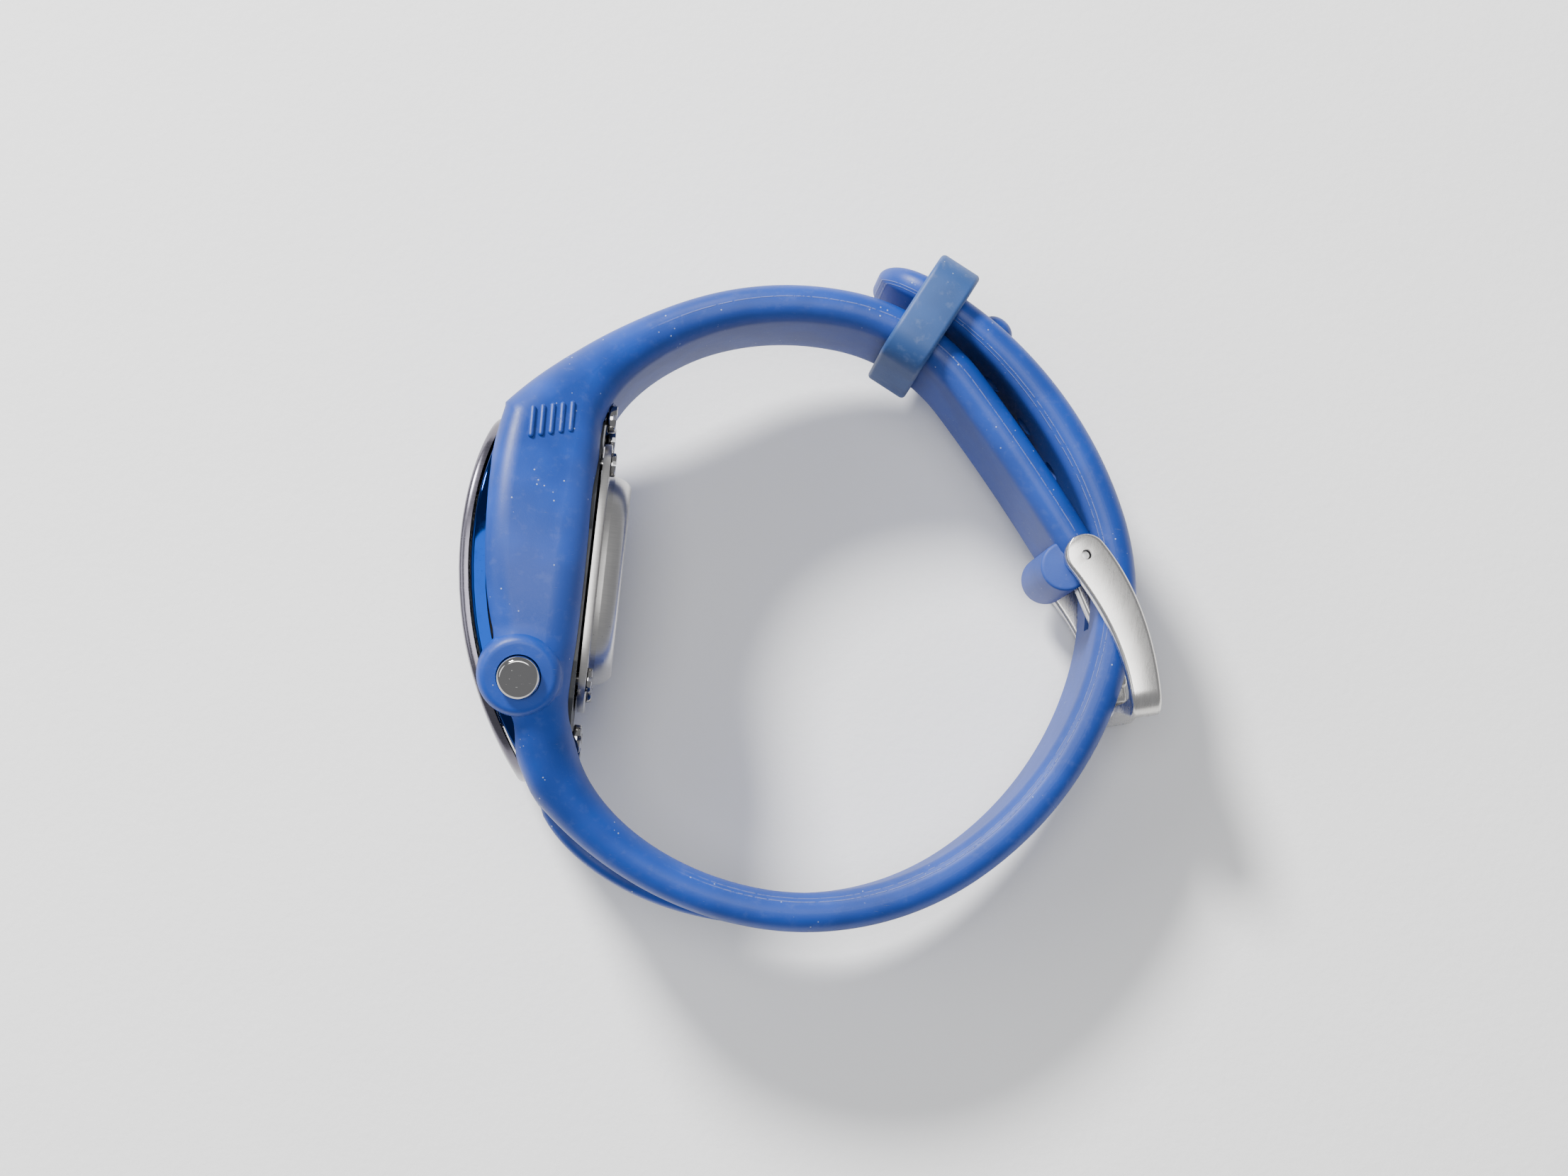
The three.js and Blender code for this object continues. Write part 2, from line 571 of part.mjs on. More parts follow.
function keeperLoop() {
  const inner = { height: KEEPER.innerHeight / 2, width: STRAP_HALF_WIDTH + 0.5 };
  const extrude = (shape, depth, bevel) =>
    new THREE.ExtrudeGeometry(shape, {
      depth,
      bevelEnabled: bevel > 0,
      bevelThickness: bevel,
      bevelSize: bevel,
      bevelOffset: -bevel,
      bevelSegments: 1,
      curveSegments: 4,
    }).translate(0, 0, -depth / 2);
  const outerShape = keeperOutline(inner.height + KEEPER.wall, inner.width + KEEPER.wall, 3.4);
  const holeShape = keeperOutline(inner.height, inner.width, 2.2);
  const body = cut(solid(extrude(outerShape, KEEPER.width - 1, 0.5)), solid(extrude(holeShape, KEEPER.width + 2, 0)));
  const place = new THREE.Matrix4().makeBasis(
    new THREE.Vector3(-Math.sin(keeperTurn), Math.cos(keeperTurn), 0),
    new THREE.Vector3(0, 0, 1),
    new THREE.Vector3(Math.cos(keeperTurn), Math.sin(keeperTurn), 0),
  );
  return placed(body, place.setPosition(keeperCentre));
}

// Grip ribs on the 3 o'clock side at 2 o'clock, and the keeper's stop on the tail strap.
function gripRibs() {
  const ribs = [];
  for (let i = 0; i < GRIP_RIB.count; i++) {
    const y = GRIP_RIB.y + i * GRIP_RIB.rise;
    const x = GRIP_RIB.x + i * GRIP_RIB.pitch;
    const slope = Math.atan(SHOULDER.ease * 2 * CASE_TAPER * (y - CASE_CENTRE_Y));
    const seat = railHalfWidth(y) - SHOULDER.fall * (x - SHOULDER.from);
    ribs.push(
      solid(
        new THREE.CapsuleGeometry(GRIP_RIB.width / 2, GRIP_RIB.length - GRIP_RIB.width, 3, 8)
          .rotateX(-slope)
          .translate(x, y, seat + GRIP_RIB.height - GRIP_RIB.width / 2),
      ),
    );
  }
  return ribs;
}
function keeperStop() {
  const { point, heading } = strapFace(TAIL_STRAP, KEEPER_STOP.at);
  const bump = new THREE.CapsuleGeometry(KEEPER_STOP.radius, KEEPER_STOP.length, 4, 12)
    .rotateX(Math.PI / 2)
    .scale(1.25, 0.9, 1);
  return solid(bump.rotateZ(heading).translate(point.x, point.y, 0));
}

// The raised middle of the tail strap's outer face at its root, tapered at both ends.
function rootRidge() {
  const steps = 9;
  const rings = [];
  for (let i = 0; i <= steps; i++) {
    const share = i / steps;
    const { outer, inner } = tailStrapStation(ROOT_RIDGE.start + ROOT_RIDGE.length * share);
    const inward = inner.clone().sub(outer).normalize();
    const rise = Math.sin(Math.PI * share ** 0.65);
    const crest = outer.clone().addScaledVector(inward, -ROOT_RIDGE.height * rise - 0.02);
    const foot = outer.clone().addScaledVector(inward, 1.5);
    rings.push(sectionRing(crest, foot, ROOT_RIDGE.halfWidth * (0.5 + 0.4 * rise), 0.6));
  }
  return loft(rings);
}

const pusherCuts = pushers.map(({ frame }) => placed(pusherBore, frame));
const screwPlaces = (screw, centreY) =>
  [[1, 1], [1, -1], [-1, 1], [-1, -1]].map(([v, w]) => ({ y: centreY + v * screw.y, z: w * screw.z }));
const strapScrews = screwPlaces(STRAP_SCREW, LUG.y);
const casebackScrews = screwPlaces(CASEBACK_SCREW, CASEBACK.y);
const lugFront = MID_CASE.rearX - LUG.thickness;

const moulding = cut(
  joined(mouldingSkin(), ...pushers.map(({ frame }) => placed(pusherBossBody, frame)), knuckleBarrel(), keeperStop(),
    rootRidge(), ...gripRibs()),
  caseEnvelope(CLEAR),
  chromeRing(CLEAR),
  ...pusherCuts,
  ...strapScrews.map(({ y, z }) => rodX(STRAP_SCREW.shankRadius + CLEAR, lugFront - 3, 4, y, z, 8)),
  ...strapScrews.map(({ y, z }) => rodX(STRAP_SCREW.headRadius + CLEAR, MID_CASE.rearX, 4, y, z, 16)),
  rodZ(PIN_RADIUS + CLEAR, -20, 20, knuckle.x, knuckle.y),
  tongueSlot,
  ...tailHoles,
);
add("moulded_strap", moulding, BLUE_RUBBER);

// The watch body inside the surround.
const casebackSeat = MID_CASE.rearX;
const cavityFront = { halfLength: 13.8, halfWidth: 11 };
const spigot = shrink(ringHole, CLEAR);
const gasketGroove = { y: CASEBACK.y, halfLength: 11.9, halfWidth: 11.1, power: 3 };
const groove = (grow, depth) =>
  cut(
    plate(outline(gasketGroove, 0.3 + grow), casebackSeat - depth, casebackSeat + 1),
    plate(outline(gasketGroove, -0.3 - grow), casebackSeat - depth - 1, casebackSeat + 2),
  );
const tubBody = plate(outline({ ...MID_CASE, power: 3 }), FRONT.x - FAR_OUT, MID_CASE.rearX);
const frontTrim = curvedPlate({ halfLength: 30, halfWidth: 30, from: 20, to: ringBottom - CLEAR });
const spigotBody = curvedPlate({ ...spigot, from: ringBottom - 4, to: ringTop });
const midCase = cut(
  joined(
    tubBody.intersect(frontTrim),
    plate(outline({ ...LUG, power: 4 }), lugFront, MID_CASE.rearX),
    spigotBody,
  ),
  plate(outline({ ...CAVITY, power: 3 }), -13, 2),
  curvedPlate({ ...cavityFront, from: 49.6, to: ringTop - LEDGE.thickness }),
  curvedPlate({ ...LEDGE, from: 50, to: FAR_OUT }),
  groove(0.15, 0.75),
  ...pusherCuts,
  ...strapScrews.map(({ y, z }) => rodX(STRAP_SCREW.shankRadius + CLEAR, lugFront - 3, 4, y, z, 12)),
  ...casebackScrews.map(({ y, z }) => rodX(CASEBACK_SCREW.shankRadius + CLEAR, casebackSeat - 3.4, 4, y, z, 12)),
);
add("mid_case", midCase, DARK_PLASTIC);
add("chrome_ring", cut(chromeRing(), ...pusherCuts), BLUE_CHROME);
add("bezel", bezel, MAUVE_METAL);
add("crystal_gasket", crystalGasket, BLACK_RUBBER);
add("crystal", crystal, LENS);

// Caseback: a flange under four screws and a raised, bevelled face, hollow inside.
const flangeBottom = MID_CASE.rearX + CLEAR;
const flangeTop = flangeBottom + CASEBACK.flange;
const wallTop = flangeTop + BOSS.wall;
const casebackFlat = wallTop + BOSS.rise;
const bossOutline = outline({ y: CASEBACK.y, ...BOSS, power: 2.8 });
const bossBody = solid(
  new THREE.ExtrudeGeometry(bossOutline, {
    depth: wallTop - flangeTop + 0.4,
    bevelEnabled: true,
    bevelThickness: BOSS.rise,
    bevelSize: BOSS.bevel,
    bevelOffset: -BOSS.bevel,
    bevelSegments: 1,
  })
    .applyMatrix4(ALONG_X)
    .translate(flangeTop - 0.4, 0, 0),
).intersect(box(flangeBottom, casebackFlat + 1, -20, 20, -20, 20));
const hollow = plate(
  outline({ y: CASEBACK.y, halfLength: BOSS.halfLength - 1.6, halfWidth: BOSS.halfWidth - 1.6, power: 2.8 }),
  flangeBottom - 1,
  wallTop + 0.6,
);
const caseback = cut(
  joined(plate(outline({ ...CASEBACK, power: 4 }), flangeBottom, flangeTop), bossBody),
  hollow,
  ...casebackScrews.map(({ y, z }) => rodX(CASEBACK_SCREW.shankRadius + CLEAR, -6, 4, y, z, 12)),
  ...casebackScrews.map(({ y, z }) => rodX(CASEBACK_SCREW.headRadius + CLEAR, flangeBottom + 0.4, 2, y, z, 16)),
);
add("caseback", caseback, STEEL);
add("back_gasket", groove(0, 0.55).intersect(box(-9, casebackSeat, -20, 20, -20, 20)), BLACK_RUBBER);

// A slotted screw along x, its head's underside at the given x.
function screw({ headRadius, head, shankRadius, length }, seatX, y, z) {
  const body = joined(
    rodX(headRadius, seatX, seatX + head, y, z, 16),
    rodX(shankRadius, seatX - length, seatX + 0.1, y, z, 10),
  );
  const slot = box(seatX + head - DRIVE_SLOT.depth, seatX + head + 1, y - 3, y + 3, z - DRIVE_SLOT.width / 2, z + DRIVE_SLOT.width / 2);
  return cut(body, slot);
}
casebackScrews.forEach(({ y, z }, i) =>
  add(`caseback_screw_${i + 1}`, screw(CASEBACK_SCREW, flangeBottom + 0.4 + CLEAR, y, z), MIRROR_STEEL),
);
strapScrews.forEach(({ y, z }, i) =>
  add(`strap_screw_${i + 1}`, screw(STRAP_SCREW, MID_CASE.rearX + CLEAR, y, z), MIRROR_STEEL),
);

// The module, from the crystal to the caseback.
const maskTop = ringTop - LEDGE.thickness - CLEAR;
add(
  "display_mask",
  cut(
    curvedPlate({ halfLength: 13.4, halfWidth: 10.6, from: maskTop - 0.7, to: maskTop }),
    curvedPlate({ halfLength: 10.2, halfWidth: 8.0, from: maskTop - 4, to: FAR_OUT }),
  ),
  DARK_PLASTIC,
);
const lcd = { y: -1.6, halfY: 9.2, halfZ: 8.0, backX: -8.9, thickness: 0.8 };
add("lcd_glass", box(lcd.backX - lcd.thickness, lcd.backX, lcd.y - lcd.halfY, lcd.y + lcd.halfY, -lcd.halfZ, lcd.halfZ), LCD_GREY);
const frameX = [lcd.backX + CLEAR, -6.4];
add("backlight_panel", box(frameX[0], frameX[0] + 0.5, -7.0, 7.0, -5.4, 5.4), WHITE_PLASTIC);
add(
  "module_frame",
  cut(
    plate(outline({ halfLength: 10.8, halfWidth: 8.2, power: 3 }), ...frameX),
    box(frameX[0] - 1, frameX[1] + 1, -9.2, 9.2, -5.8, 5.8),
  ),
  WHITE_PLASTIC,
);
add("zebra_strip_12", box(...frameX, 7.5, 8.9, -5.4, 5.4), BLACK_RUBBER);
add("zebra_strip_6", box(...frameX, -8.9, -7.5, -5.4, 5.4), BLACK_RUBBER);
const boardX = [frameX[1] + CLEAR, frameX[1] + CLEAR + 0.8];
add("circuit_board", plate(outline({ halfLength: 10.8, halfWidth: 10.0, power: 3 }), ...boardX), BOARD_GREEN);
const cellX = [boardX[1] + CLEAR, boardX[1] + CLEAR + COIN_CELL.thickness];
const cellY = -1.9;
add("coin_cell", rodX(COIN_CELL.radius, ...cellX, cellY, 0, 28), STEEL);
const clipX = cellX[1] + CLEAR;
const clipHalf = COIN_CELL.radius + CLEAR;
add(
  "battery_clip",
  joined(
    box(clipX, clipX + 0.3, cellY - clipHalf - 0.3, cellY + clipHalf + 0.3, -2, 2),
    box(cellX[0], clipX + 0.1, cellY - clipHalf - 0.3, cellY - clipHalf, -2, 2),
    box(cellX[0], clipX + 0.1, cellY + clipHalf, cellY + clipHalf + 0.3, -2, 2),
  ),
  BRASS,
);
const buzzerX = wallTop + 0.6 - CLEAR;
add("buzzer_disc", rodX(8, buzzerX - 0.4, buzzerX, CASEBACK.y, 0, 24), BRASS);

// A coil spring: wire round a helix along z from 0 to its height.
class Helix extends THREE.Curve {
  constructor(radius, height, turns) {
    super();
    Object.assign(this, { radius, height, turns });
  }
  getPoint(t, target = new THREE.Vector3()) {
    const angle = 2 * Math.PI * this.turns * t;
    return target.set(this.radius * Math.cos(angle), this.radius * Math.sin(angle), this.height * t);
  }
}
function coil(radius, height, turns, wire) {
  const section = new THREE.Shape().absarc(0, 0, wire / 2, 0, 2 * Math.PI);
  return new THREE.ExtrudeGeometry(section, {
    extrudePath: new Helix(radius, height, turns),
    steps: Math.round(turns * 8),
    curveSegments: 2,
  });
}
const springBase = boardX[1] + CLEAR + 0.15;
add(
  "buzzer_spring",
  coil(0.55, buzzerX - 0.4 - CLEAR - springBase - 0.15, 5, 0.25).applyMatrix4(ALONG_X).translate(springBase, 7.9, 0),
  BRASS,
);

// The pushers: cap and stem in one, return spring, seal and circlip.
const pusherPiece = turned([
  [0, stemEnd], [PUSHER.stemRadius, stemEnd], [PUSHER.stemRadius, capBottom], [PUSHER.capRadius, capBottom],
  [PUSHER.capRadius, PUSHER.proud - 0.35], [PUSHER.capRadius - 0.35, PUSHER.proud], [0, PUSHER.proud],
]);
const grooved = cut(
  pusherPiece,
  turned([[0.45, circlipAt - 0.25], [2, circlipAt - 0.25], [2, circlipAt + 0.25], [0.45, circlipAt + 0.25], [0.45, circlipAt - 0.25]]),
);
const springFloor = wellFloor + CLEAR;
const springHeight = capBottom - CLEAR - springFloor - SPRING_WIRE;
const oRing = new THREE.TorusGeometry(PUSHER.stemRadius + CLEAR * 0.5 + O_RING.wire / 2, O_RING.wire / 2, 6, 12);
const circlipShape = new THREE.Shape().absarc(0, 0, 1.35, degrees(35), degrees(325));
circlipShape.absarc(0, 0, 0.75, degrees(325), degrees(35), true);
const circlip = new THREE.ExtrudeGeometry(circlipShape, { depth: 0.3, bevelEnabled: false, curveSegments: 8 });
for (const { name, frame } of pushers) {
  add(name, placed(grooved, frame), MIRROR_STEEL);
  add(
    `${name}_spring`,
    coil(1.55, springHeight, 3.5, SPRING_WIRE).translate(0, 0, springFloor + SPRING_WIRE / 2).applyMatrix4(frame),
    STEEL,
  );
  add(`${name}_o_ring`, oRing.clone().translate(0, 0, ringSeat + CLEAR + O_RING.wire / 2).applyMatrix4(frame), BLACK_RUBBER);
  add(`${name}_circlip`, circlip.clone().translate(0, 0, circlipAt - 0.15).applyMatrix4(frame), STEEL);
}

// Buckle and keeper.
add("buckle_frame", buckleFrame, STEEL);
add("buckle_pin", rodZ(PIN_RADIUS, -buckleOuterHalf + 0.4, buckleOuterHalf - 0.4, knuckle.x, knuckle.y, 16), MIRROR_STEEL);
add("buckle_tongue", tongue, STEEL);
add("keeper_loop", keeperLoop(), KEEPER_BLUE);

// Lays the watch on its side: turned about y until the case side and the buckle are equally low.
const points = [];
for (const mesh of group.children) {
  const position = mesh.geometry.attributes.position;
  for (let i = 0; i < position.count; i++) points.push(new THREE.Vector3().fromBufferAttribute(position, i));
}
const lowest = (tilt, isBuckleEnd) =>
  Math.min(
    ...points
      .filter((point) => point.x > 20 === isBuckleEnd)
      .map((point) => point.z * Math.cos(tilt) - point.x * Math.sin(tilt)),
  );
let [flat, steep] = [0, degrees(20)];
for (let i = 0; i < 30; i++) {
  const tilt = (flat + steep) / 2;
  if (lowest(tilt, true) > lowest(tilt, false)) flat = tilt;
  else steep = tilt;
}
const restTilt = (flat + steep) / 2;
group.rotation.y = restTilt;
group.updateMatrixWorld(true);
const bounds = new THREE.Box3().setFromObject(group, true);
const centre = bounds.getCenter(new THREE.Vector3());
group.position.set(-centre.x, -centre.y, -bounds.min.z);

export default group;
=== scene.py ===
import json
import math

import bmesh
import bpy
import numpy as np
from bpy.props import FloatProperty, FloatVectorProperty, IntProperty, PointerProperty
from mathutils import Matrix, Vector

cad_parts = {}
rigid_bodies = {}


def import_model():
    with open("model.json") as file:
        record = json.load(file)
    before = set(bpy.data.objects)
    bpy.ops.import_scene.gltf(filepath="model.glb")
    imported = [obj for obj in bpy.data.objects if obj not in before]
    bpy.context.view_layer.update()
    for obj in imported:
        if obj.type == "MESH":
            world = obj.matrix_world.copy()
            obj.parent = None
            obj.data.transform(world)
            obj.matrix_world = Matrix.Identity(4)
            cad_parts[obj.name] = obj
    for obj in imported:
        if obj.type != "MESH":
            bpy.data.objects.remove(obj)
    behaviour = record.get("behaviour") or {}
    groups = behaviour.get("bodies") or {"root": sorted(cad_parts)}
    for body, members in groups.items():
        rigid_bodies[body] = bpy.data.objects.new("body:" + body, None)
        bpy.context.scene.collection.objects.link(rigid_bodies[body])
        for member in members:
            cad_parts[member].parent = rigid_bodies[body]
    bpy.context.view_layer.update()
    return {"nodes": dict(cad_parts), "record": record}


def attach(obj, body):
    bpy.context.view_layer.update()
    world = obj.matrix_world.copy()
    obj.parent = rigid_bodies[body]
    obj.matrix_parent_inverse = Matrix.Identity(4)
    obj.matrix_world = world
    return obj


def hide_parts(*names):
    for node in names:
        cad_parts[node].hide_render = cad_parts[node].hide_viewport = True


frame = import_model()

bl_info = {
    "name": "Sports wristwatch",
    "version": (1, 0, 0),
    "blender": (4, 5, 0),
    "location": "View3D > Sidebar > Watch",
    "description": "Builds a buckled digital sports watch piece by piece",
    "category": "Add Mesh",
}

MM = 0.001

# Design frame, in millimetres: x from the dial to the wrist and the buckle, y to 12 o'clock, z to 3 o'clock.
PIN = (50.6, 8.2)
FRONT_X, FRONT_Y, FRONT_RADIUS = 43.5, 6.1, 57.4
FRONT_CENTRE_Y = -3.1
CASE_HALF_WIDTH, CASE_CENTRE_Y, CASE_TAPER = 18.0, -1.0, 0.0125
RAIL_REAR_X = -2.5
STRAP_HALF_WIDTH = 8.5
BUCKLE_STRAP = {
    "start": (-12.94, 17.13), "heading": 51.7, "side": 1,
    "arcs": [(21.7, -24.4), (20.0, -32.9), (16.9, -41.9), (20.7, -5.4)],
}
TAIL_STRAP = {
    "start": (-5.8, -23.52), "heading": -45.4, "side": -1,
    "arcs": [(27.3, 39.8), (26.2, 45.3), (29.8, 42.5), (16.1, 30.9), (34.2, 44.4), (5.0, -1.3)],
}
RING_BOTTOM, RING_TOP = FRONT_RADIUS - 0.6, FRONT_RADIUS + 0.9
BEZEL_BOTTOM = RING_TOP + 0.3
FLANGE_X, CASEBACK_Y = -2.0, 0.7
PUSHER_X, PUSHER_Y, BOSS_HEIGHT = -8.1, -11.8, 0.9
CAP_PROUD, CAP_LENGTH, CAP_RADIUS, STEM_RADIUS = 1.1, 2.6, 2.25, 0.75
KEEPER_STOP_AT = 124.2  # along the tail strap's outer face
SLOT_AT, HOLE_PITCH, HOLE_SKIP = 99.5, 6.5, 1.5  # the tongue's slot, and the holes on each side of it
LOBE_X, LOBE_Y, LOBE_RADIUS, LOBE_HALF = -1.7, -1.1, 2.7, 7.4  # the knuckle's swelling, from the pin


def design_frame():
    """The matrix from design millimetres to the row's metres, from the buckle's hinge in the record."""
    joints = frame["record"]["behaviour"]["joints"]
    hinge = next(joint for joint in joints if joint["name"] == "buckle_turn")
    z_axis = Vector(hinge["axis"]).normalized()
    y_axis = Vector((0, 1, 0))
    x_axis = y_axis.cross(z_axis)
    origin = Vector(hinge["pos_m"]) - (x_axis * PIN[0] + y_axis * PIN[1]) * MM
    place = Matrix((x_axis * MM, y_axis * MM, z_axis * MM)).transposed().to_4x4()
    place.translation = origin
    return place


PLACE = design_frame()
PLACE_NP = np.array(PLACE)


# ---------------------------------------------------------------- settings

class WATCH_PG_sizes(bpy.types.PropertyGroup):
    buckle_strap: FloatProperty(
        name="Buckle strap", description="Thickness of the buckle side strap, mm", default=4.0, min=2
    )
    tail_strap: FloatProperty(
        name="Tail strap", description="Thickness of the tail side strap, mm", default=4.2, min=2
    )
    corner: FloatProperty(
        name="Strap rounding", description="Rounding of the strap's edges, mm", default=3.2, min=0.3
    )
    rib_count: IntProperty(
        name="Grip ribs", description="How many grip ribs stand on the side", default=5, min=1
    )
    rib_pitch: FloatProperty(
        name="Rib pitch", description="Distance from rib to rib, mm", default=1.0, min=0.5
    )
    hole_radius: FloatProperty(
        name="Hole radius", description="Radius of the adjustment holes, mm", default=1.15, min=0.3
    )
    arm_width: FloatProperty(
        name="Buckle arm", description="Width of the buckle's arm at the pin, mm", default=4.6, min=2
    )
    keeper_width: FloatProperty(
        name="Keeper width", description="Width of the keeper loop, mm", default=4.9, min=2
    )


class WATCH_PG_colours(bpy.types.PropertyGroup):
    strap: FloatVectorProperty(
        name="Strap", description="Colour of the moulding", subtype="COLOR", size=3, min=0, max=1,
        default=(0.004, 0.042, 0.27)
    )
    keeper: FloatVectorProperty(
        name="Keeper", description="Colour of the keeper loop", subtype="COLOR", size=3, min=0, max=1,
        default=(0.022, 0.068, 0.21)
    )
    ring: FloatVectorProperty(
        name="Ring", description="Colour of the plated ring", subtype="COLOR", size=3, min=0, max=1,
        default=(0.003, 0.02, 0.12)
    )
    bezel: FloatVectorProperty(
        name="Bezel", description="Colour of the bezel", subtype="COLOR", size=3, min=0, max=1,
        default=(0.15, 0.14, 0.17)
    )
    steel: FloatVectorProperty(
        name="Steel", description="Colour of the satin steel", subtype="COLOR", size=3, min=0, max=1,
        default=(0.6, 0.585, 0.56)
    )
    floor: FloatVectorProperty(
        name="Floor", description="Colour of the floor", subtype="COLOR", size=3, min=0, max=1,
        default=(0.87, 0.865, 0.855)
    )


def sizes():
    return bpy.context.scene.watch_sizes


def colours():
    return bpy.context.scene.watch_colours


# ---------------------------------------------------------------- shader maths

class Value:
    """A shader socket that carries a number; the operators on it add Math nodes."""

    def __init__(self, finish, socket):
        self.finish, self.socket = finish, socket

    def math(self, operation, *terms, clamp=False):
        node = self.finish.node(
            "ShaderNodeMath", {"operation": operation, "use_clamp": clamp}, dict(enumerate(terms))
        )
        return Value(self.finish, node.outputs[0])

    def __add__(self, other): return self.math("ADD", self, other)
    def __radd__(self, other): return self.math("ADD", other, self)
    def __sub__(self, other): return self.math("SUBTRACT", self, other)
    def __rsub__(self, other): return self.math("SUBTRACT", other, self)
    def __mul__(self, other): return self.math("MULTIPLY", self, other)
    def __rmul__(self, other): return self.math("MULTIPLY", other, self)
    def __truediv__(self, other): return self.math("DIVIDE", self, other)
    def __rtruediv__(self, other): return self.math("DIVIDE", other, self)
    def __neg__(self): return self.math("MULTIPLY", self, -1.0)
    def absolute(self): return self.math("ABSOLUTE", self)
    def sine(self): return self.math("SINE", self)
    def clamped(self): return self.math("ADD", self, 0.0, clamp=True)

    def smooth(self, low, high):
        """0 below low, 1 above high, and a soft step between; high may be the lower one."""
        flip = low > high
        low, high = min(low, high), max(low, high)
        ends = (1.0, 0.0) if flip else (0.0, 1.0)
        node = self.finish.node("ShaderNodeMapRange", {"interpolation_type": "SMOOTHSTEP"},
                                {0: self, 1: low, 2: high, 3: ends[0], 4: ends[1]})
        return Value(self.finish, node.outputs[0])

    def line(self, centre, half_width):
        """A soft line, 1 where the value is at centre."""
        return (self - centre).absolute().smooth(half_width, half_width * 0.25)


class NodeMaker:
    """Adds nodes to a tree: a node's type, its settings, and the values or links of its sockets."""

    def node(self, kind, settings=None, inputs=None):
        node = self.tree.nodes.new(kind)
        for key, value in (settings or {}).items():
            setattr(node, key, value)
        for key, value in (inputs or {}).items():
            self.feed(node.inputs[key], value)
        return node

    def feed(self, socket, value):
        if isinstance(value, Value):
            value = value.socket
        if isinstance(value, bpy.types.NodeSocket):
            self.tree.links.new(value, socket)
        elif socket.type == "RGBA" and len(value) == 3:
            socket.default_value = (*value, 1)
        else:
            socket.default_value = value


class Finish(NodeMaker):
    """One procedural material, made node by node."""

    def __init__(self, name, **fixed):
        self.material = bpy.data.materials.new(name)
        self.material.use_nodes = True
        self.tree = self.material.node_tree
        self.tree.nodes.clear()
        self.out = self.tree.nodes.new("ShaderNodeOutputMaterial")
        self.shader = self.tree.nodes.new("ShaderNodeBsdfPrincipled")
        self.tree.links.new(self.shader.outputs[0], self.out.inputs[0])
        for socket, value in fixed.items():
            self.shader.inputs[socket.replace("_", " ")].default_value = value
        self.where = self.tree.nodes.new("ShaderNodeTexCoord").outputs["Object"]

    def stretched(self, x, y, z):
        """Object coordinates scaled along each axis."""
        return self.node("ShaderNodeMapping", inputs={"Vector": self.where, "Scale": (x, y, z)}).outputs[0]

    def noise(self, scale, detail=3.0, roughness=0.5, where=None):
        node = self.node(
            "ShaderNodeTexNoise",
            inputs={"Vector": where or self.where, "Scale": scale, "Detail": detail, "Roughness": roughness}
        )
        return Value(self, node.outputs[0])

    def cells(self, scale, randomness=1.0, where=None):
        node = self.node(
            "ShaderNodeTexVoronoi",
            inputs={"Vector": where or self.where, "Scale": scale, "Randomness": randomness}
        )
        return Value(self, node.outputs[0])

    def attribute(self, name):
        return Value(self, self.node("ShaderNodeAttribute", {"attribute_name": name}).outputs["Fac"])

    def mix(self, share, a, b, blend="MIX"):
        """Colour a turning into colour b as share goes from 0 to 1."""
        node = self.node("ShaderNodeMix", {"data_type": "RGBA", "blend_type": blend}, {0: share, 6: a, 7: b})
        return node.outputs[2]

    def set(self, socket, value):
        self.feed(self.shader.inputs[socket], value)

    def bump(self, height, depth, strength=1.0):
        node = self.node("ShaderNodeBump", inputs={"Height": height, "Distance": depth, "Strength": strength})
        self.set("Normal", node.outputs[0])


def tint(colour, factor, towards=0.0):
    return tuple(min(1.0, c * factor + towards * (1 - c)) for c in colour)


def moulded_blue(name, base, dull=0.0):
    """Soft polyurethane: slow colour change, mould lines, pale scuffs and specks, fine grain."""
    f = Finish(name, IOR=1.45)
    broad = f.noise(140, 2, 0.5)
    blotch = f.noise(900, 4, 0.6)
    run, across = f.attribute("run"), f.attribute("across")
    colour = f.mix(broad.smooth(0.35, 0.65), tint(base, 0.86), tint(base, 1.12))
    colour = f.mix(blotch.smooth(0.52, 0.75) * (0.1 + dull), colour, tint(base, 1.1, 0.14))
    scratch = f.noise(1.0, 5, 0.7, f.stretched(700, 5200, 900)).smooth(0.63, 0.74)
    rub = f.noise(420, 3, 0.55).smooth(0.45, 0.66)
    colour = f.mix(scratch * rub * (0.2 + dull), colour, tint(base, 1.0, 0.35))
    speck = f.cells(1150).smooth(0.13, 0.05) * f.noise(260, 1).smooth(0.56, 0.62)
    colour = f.mix(speck * 0.55, colour, (0.55, 0.62, 0.72))
    wander = (f.noise(260, 2) - 0.5) * 0.06
    broken = f.noise(1500, 3, 0.7).smooth(0.34, 0.52)
    buckle_side = run.smooth(-0.5, 0.5)
    seam = (across + wander).line(0.22, 0.05) * buckle_side
    lip = ((across + wander).line(-0.52, 0.045) + (across + wander).line(-0.7, 0.035)) * (1 - buckle_side)
    marks = ((seam + lip) * broken * run.absolute().smooth(16, 26)).clamped()
    colour = f.mix(marks * (0.24 - dull), colour, tint(base, 1.0, 0.36))
    wrist = across.smooth(-0.3, -0.9)
    colour = f.mix(wrist * 0.25, colour, tint(base, 0.95, 0.06))
    f.set("Base Color", colour)
    grain = f.noise(5200, 3, 0.6)
    f.set(
        "Roughness",
        (0.36 + dull * 0.6 + grain * 0.08 + blotch * 0.1 + wrist * 0.12 + scratch * rub * 0.15).clamped()
    )
    f.bump(grain * 0.18 + scratch * rub * -0.35 + marks * 0.8 + speck * 0.3, 0.00006)
    return f.material


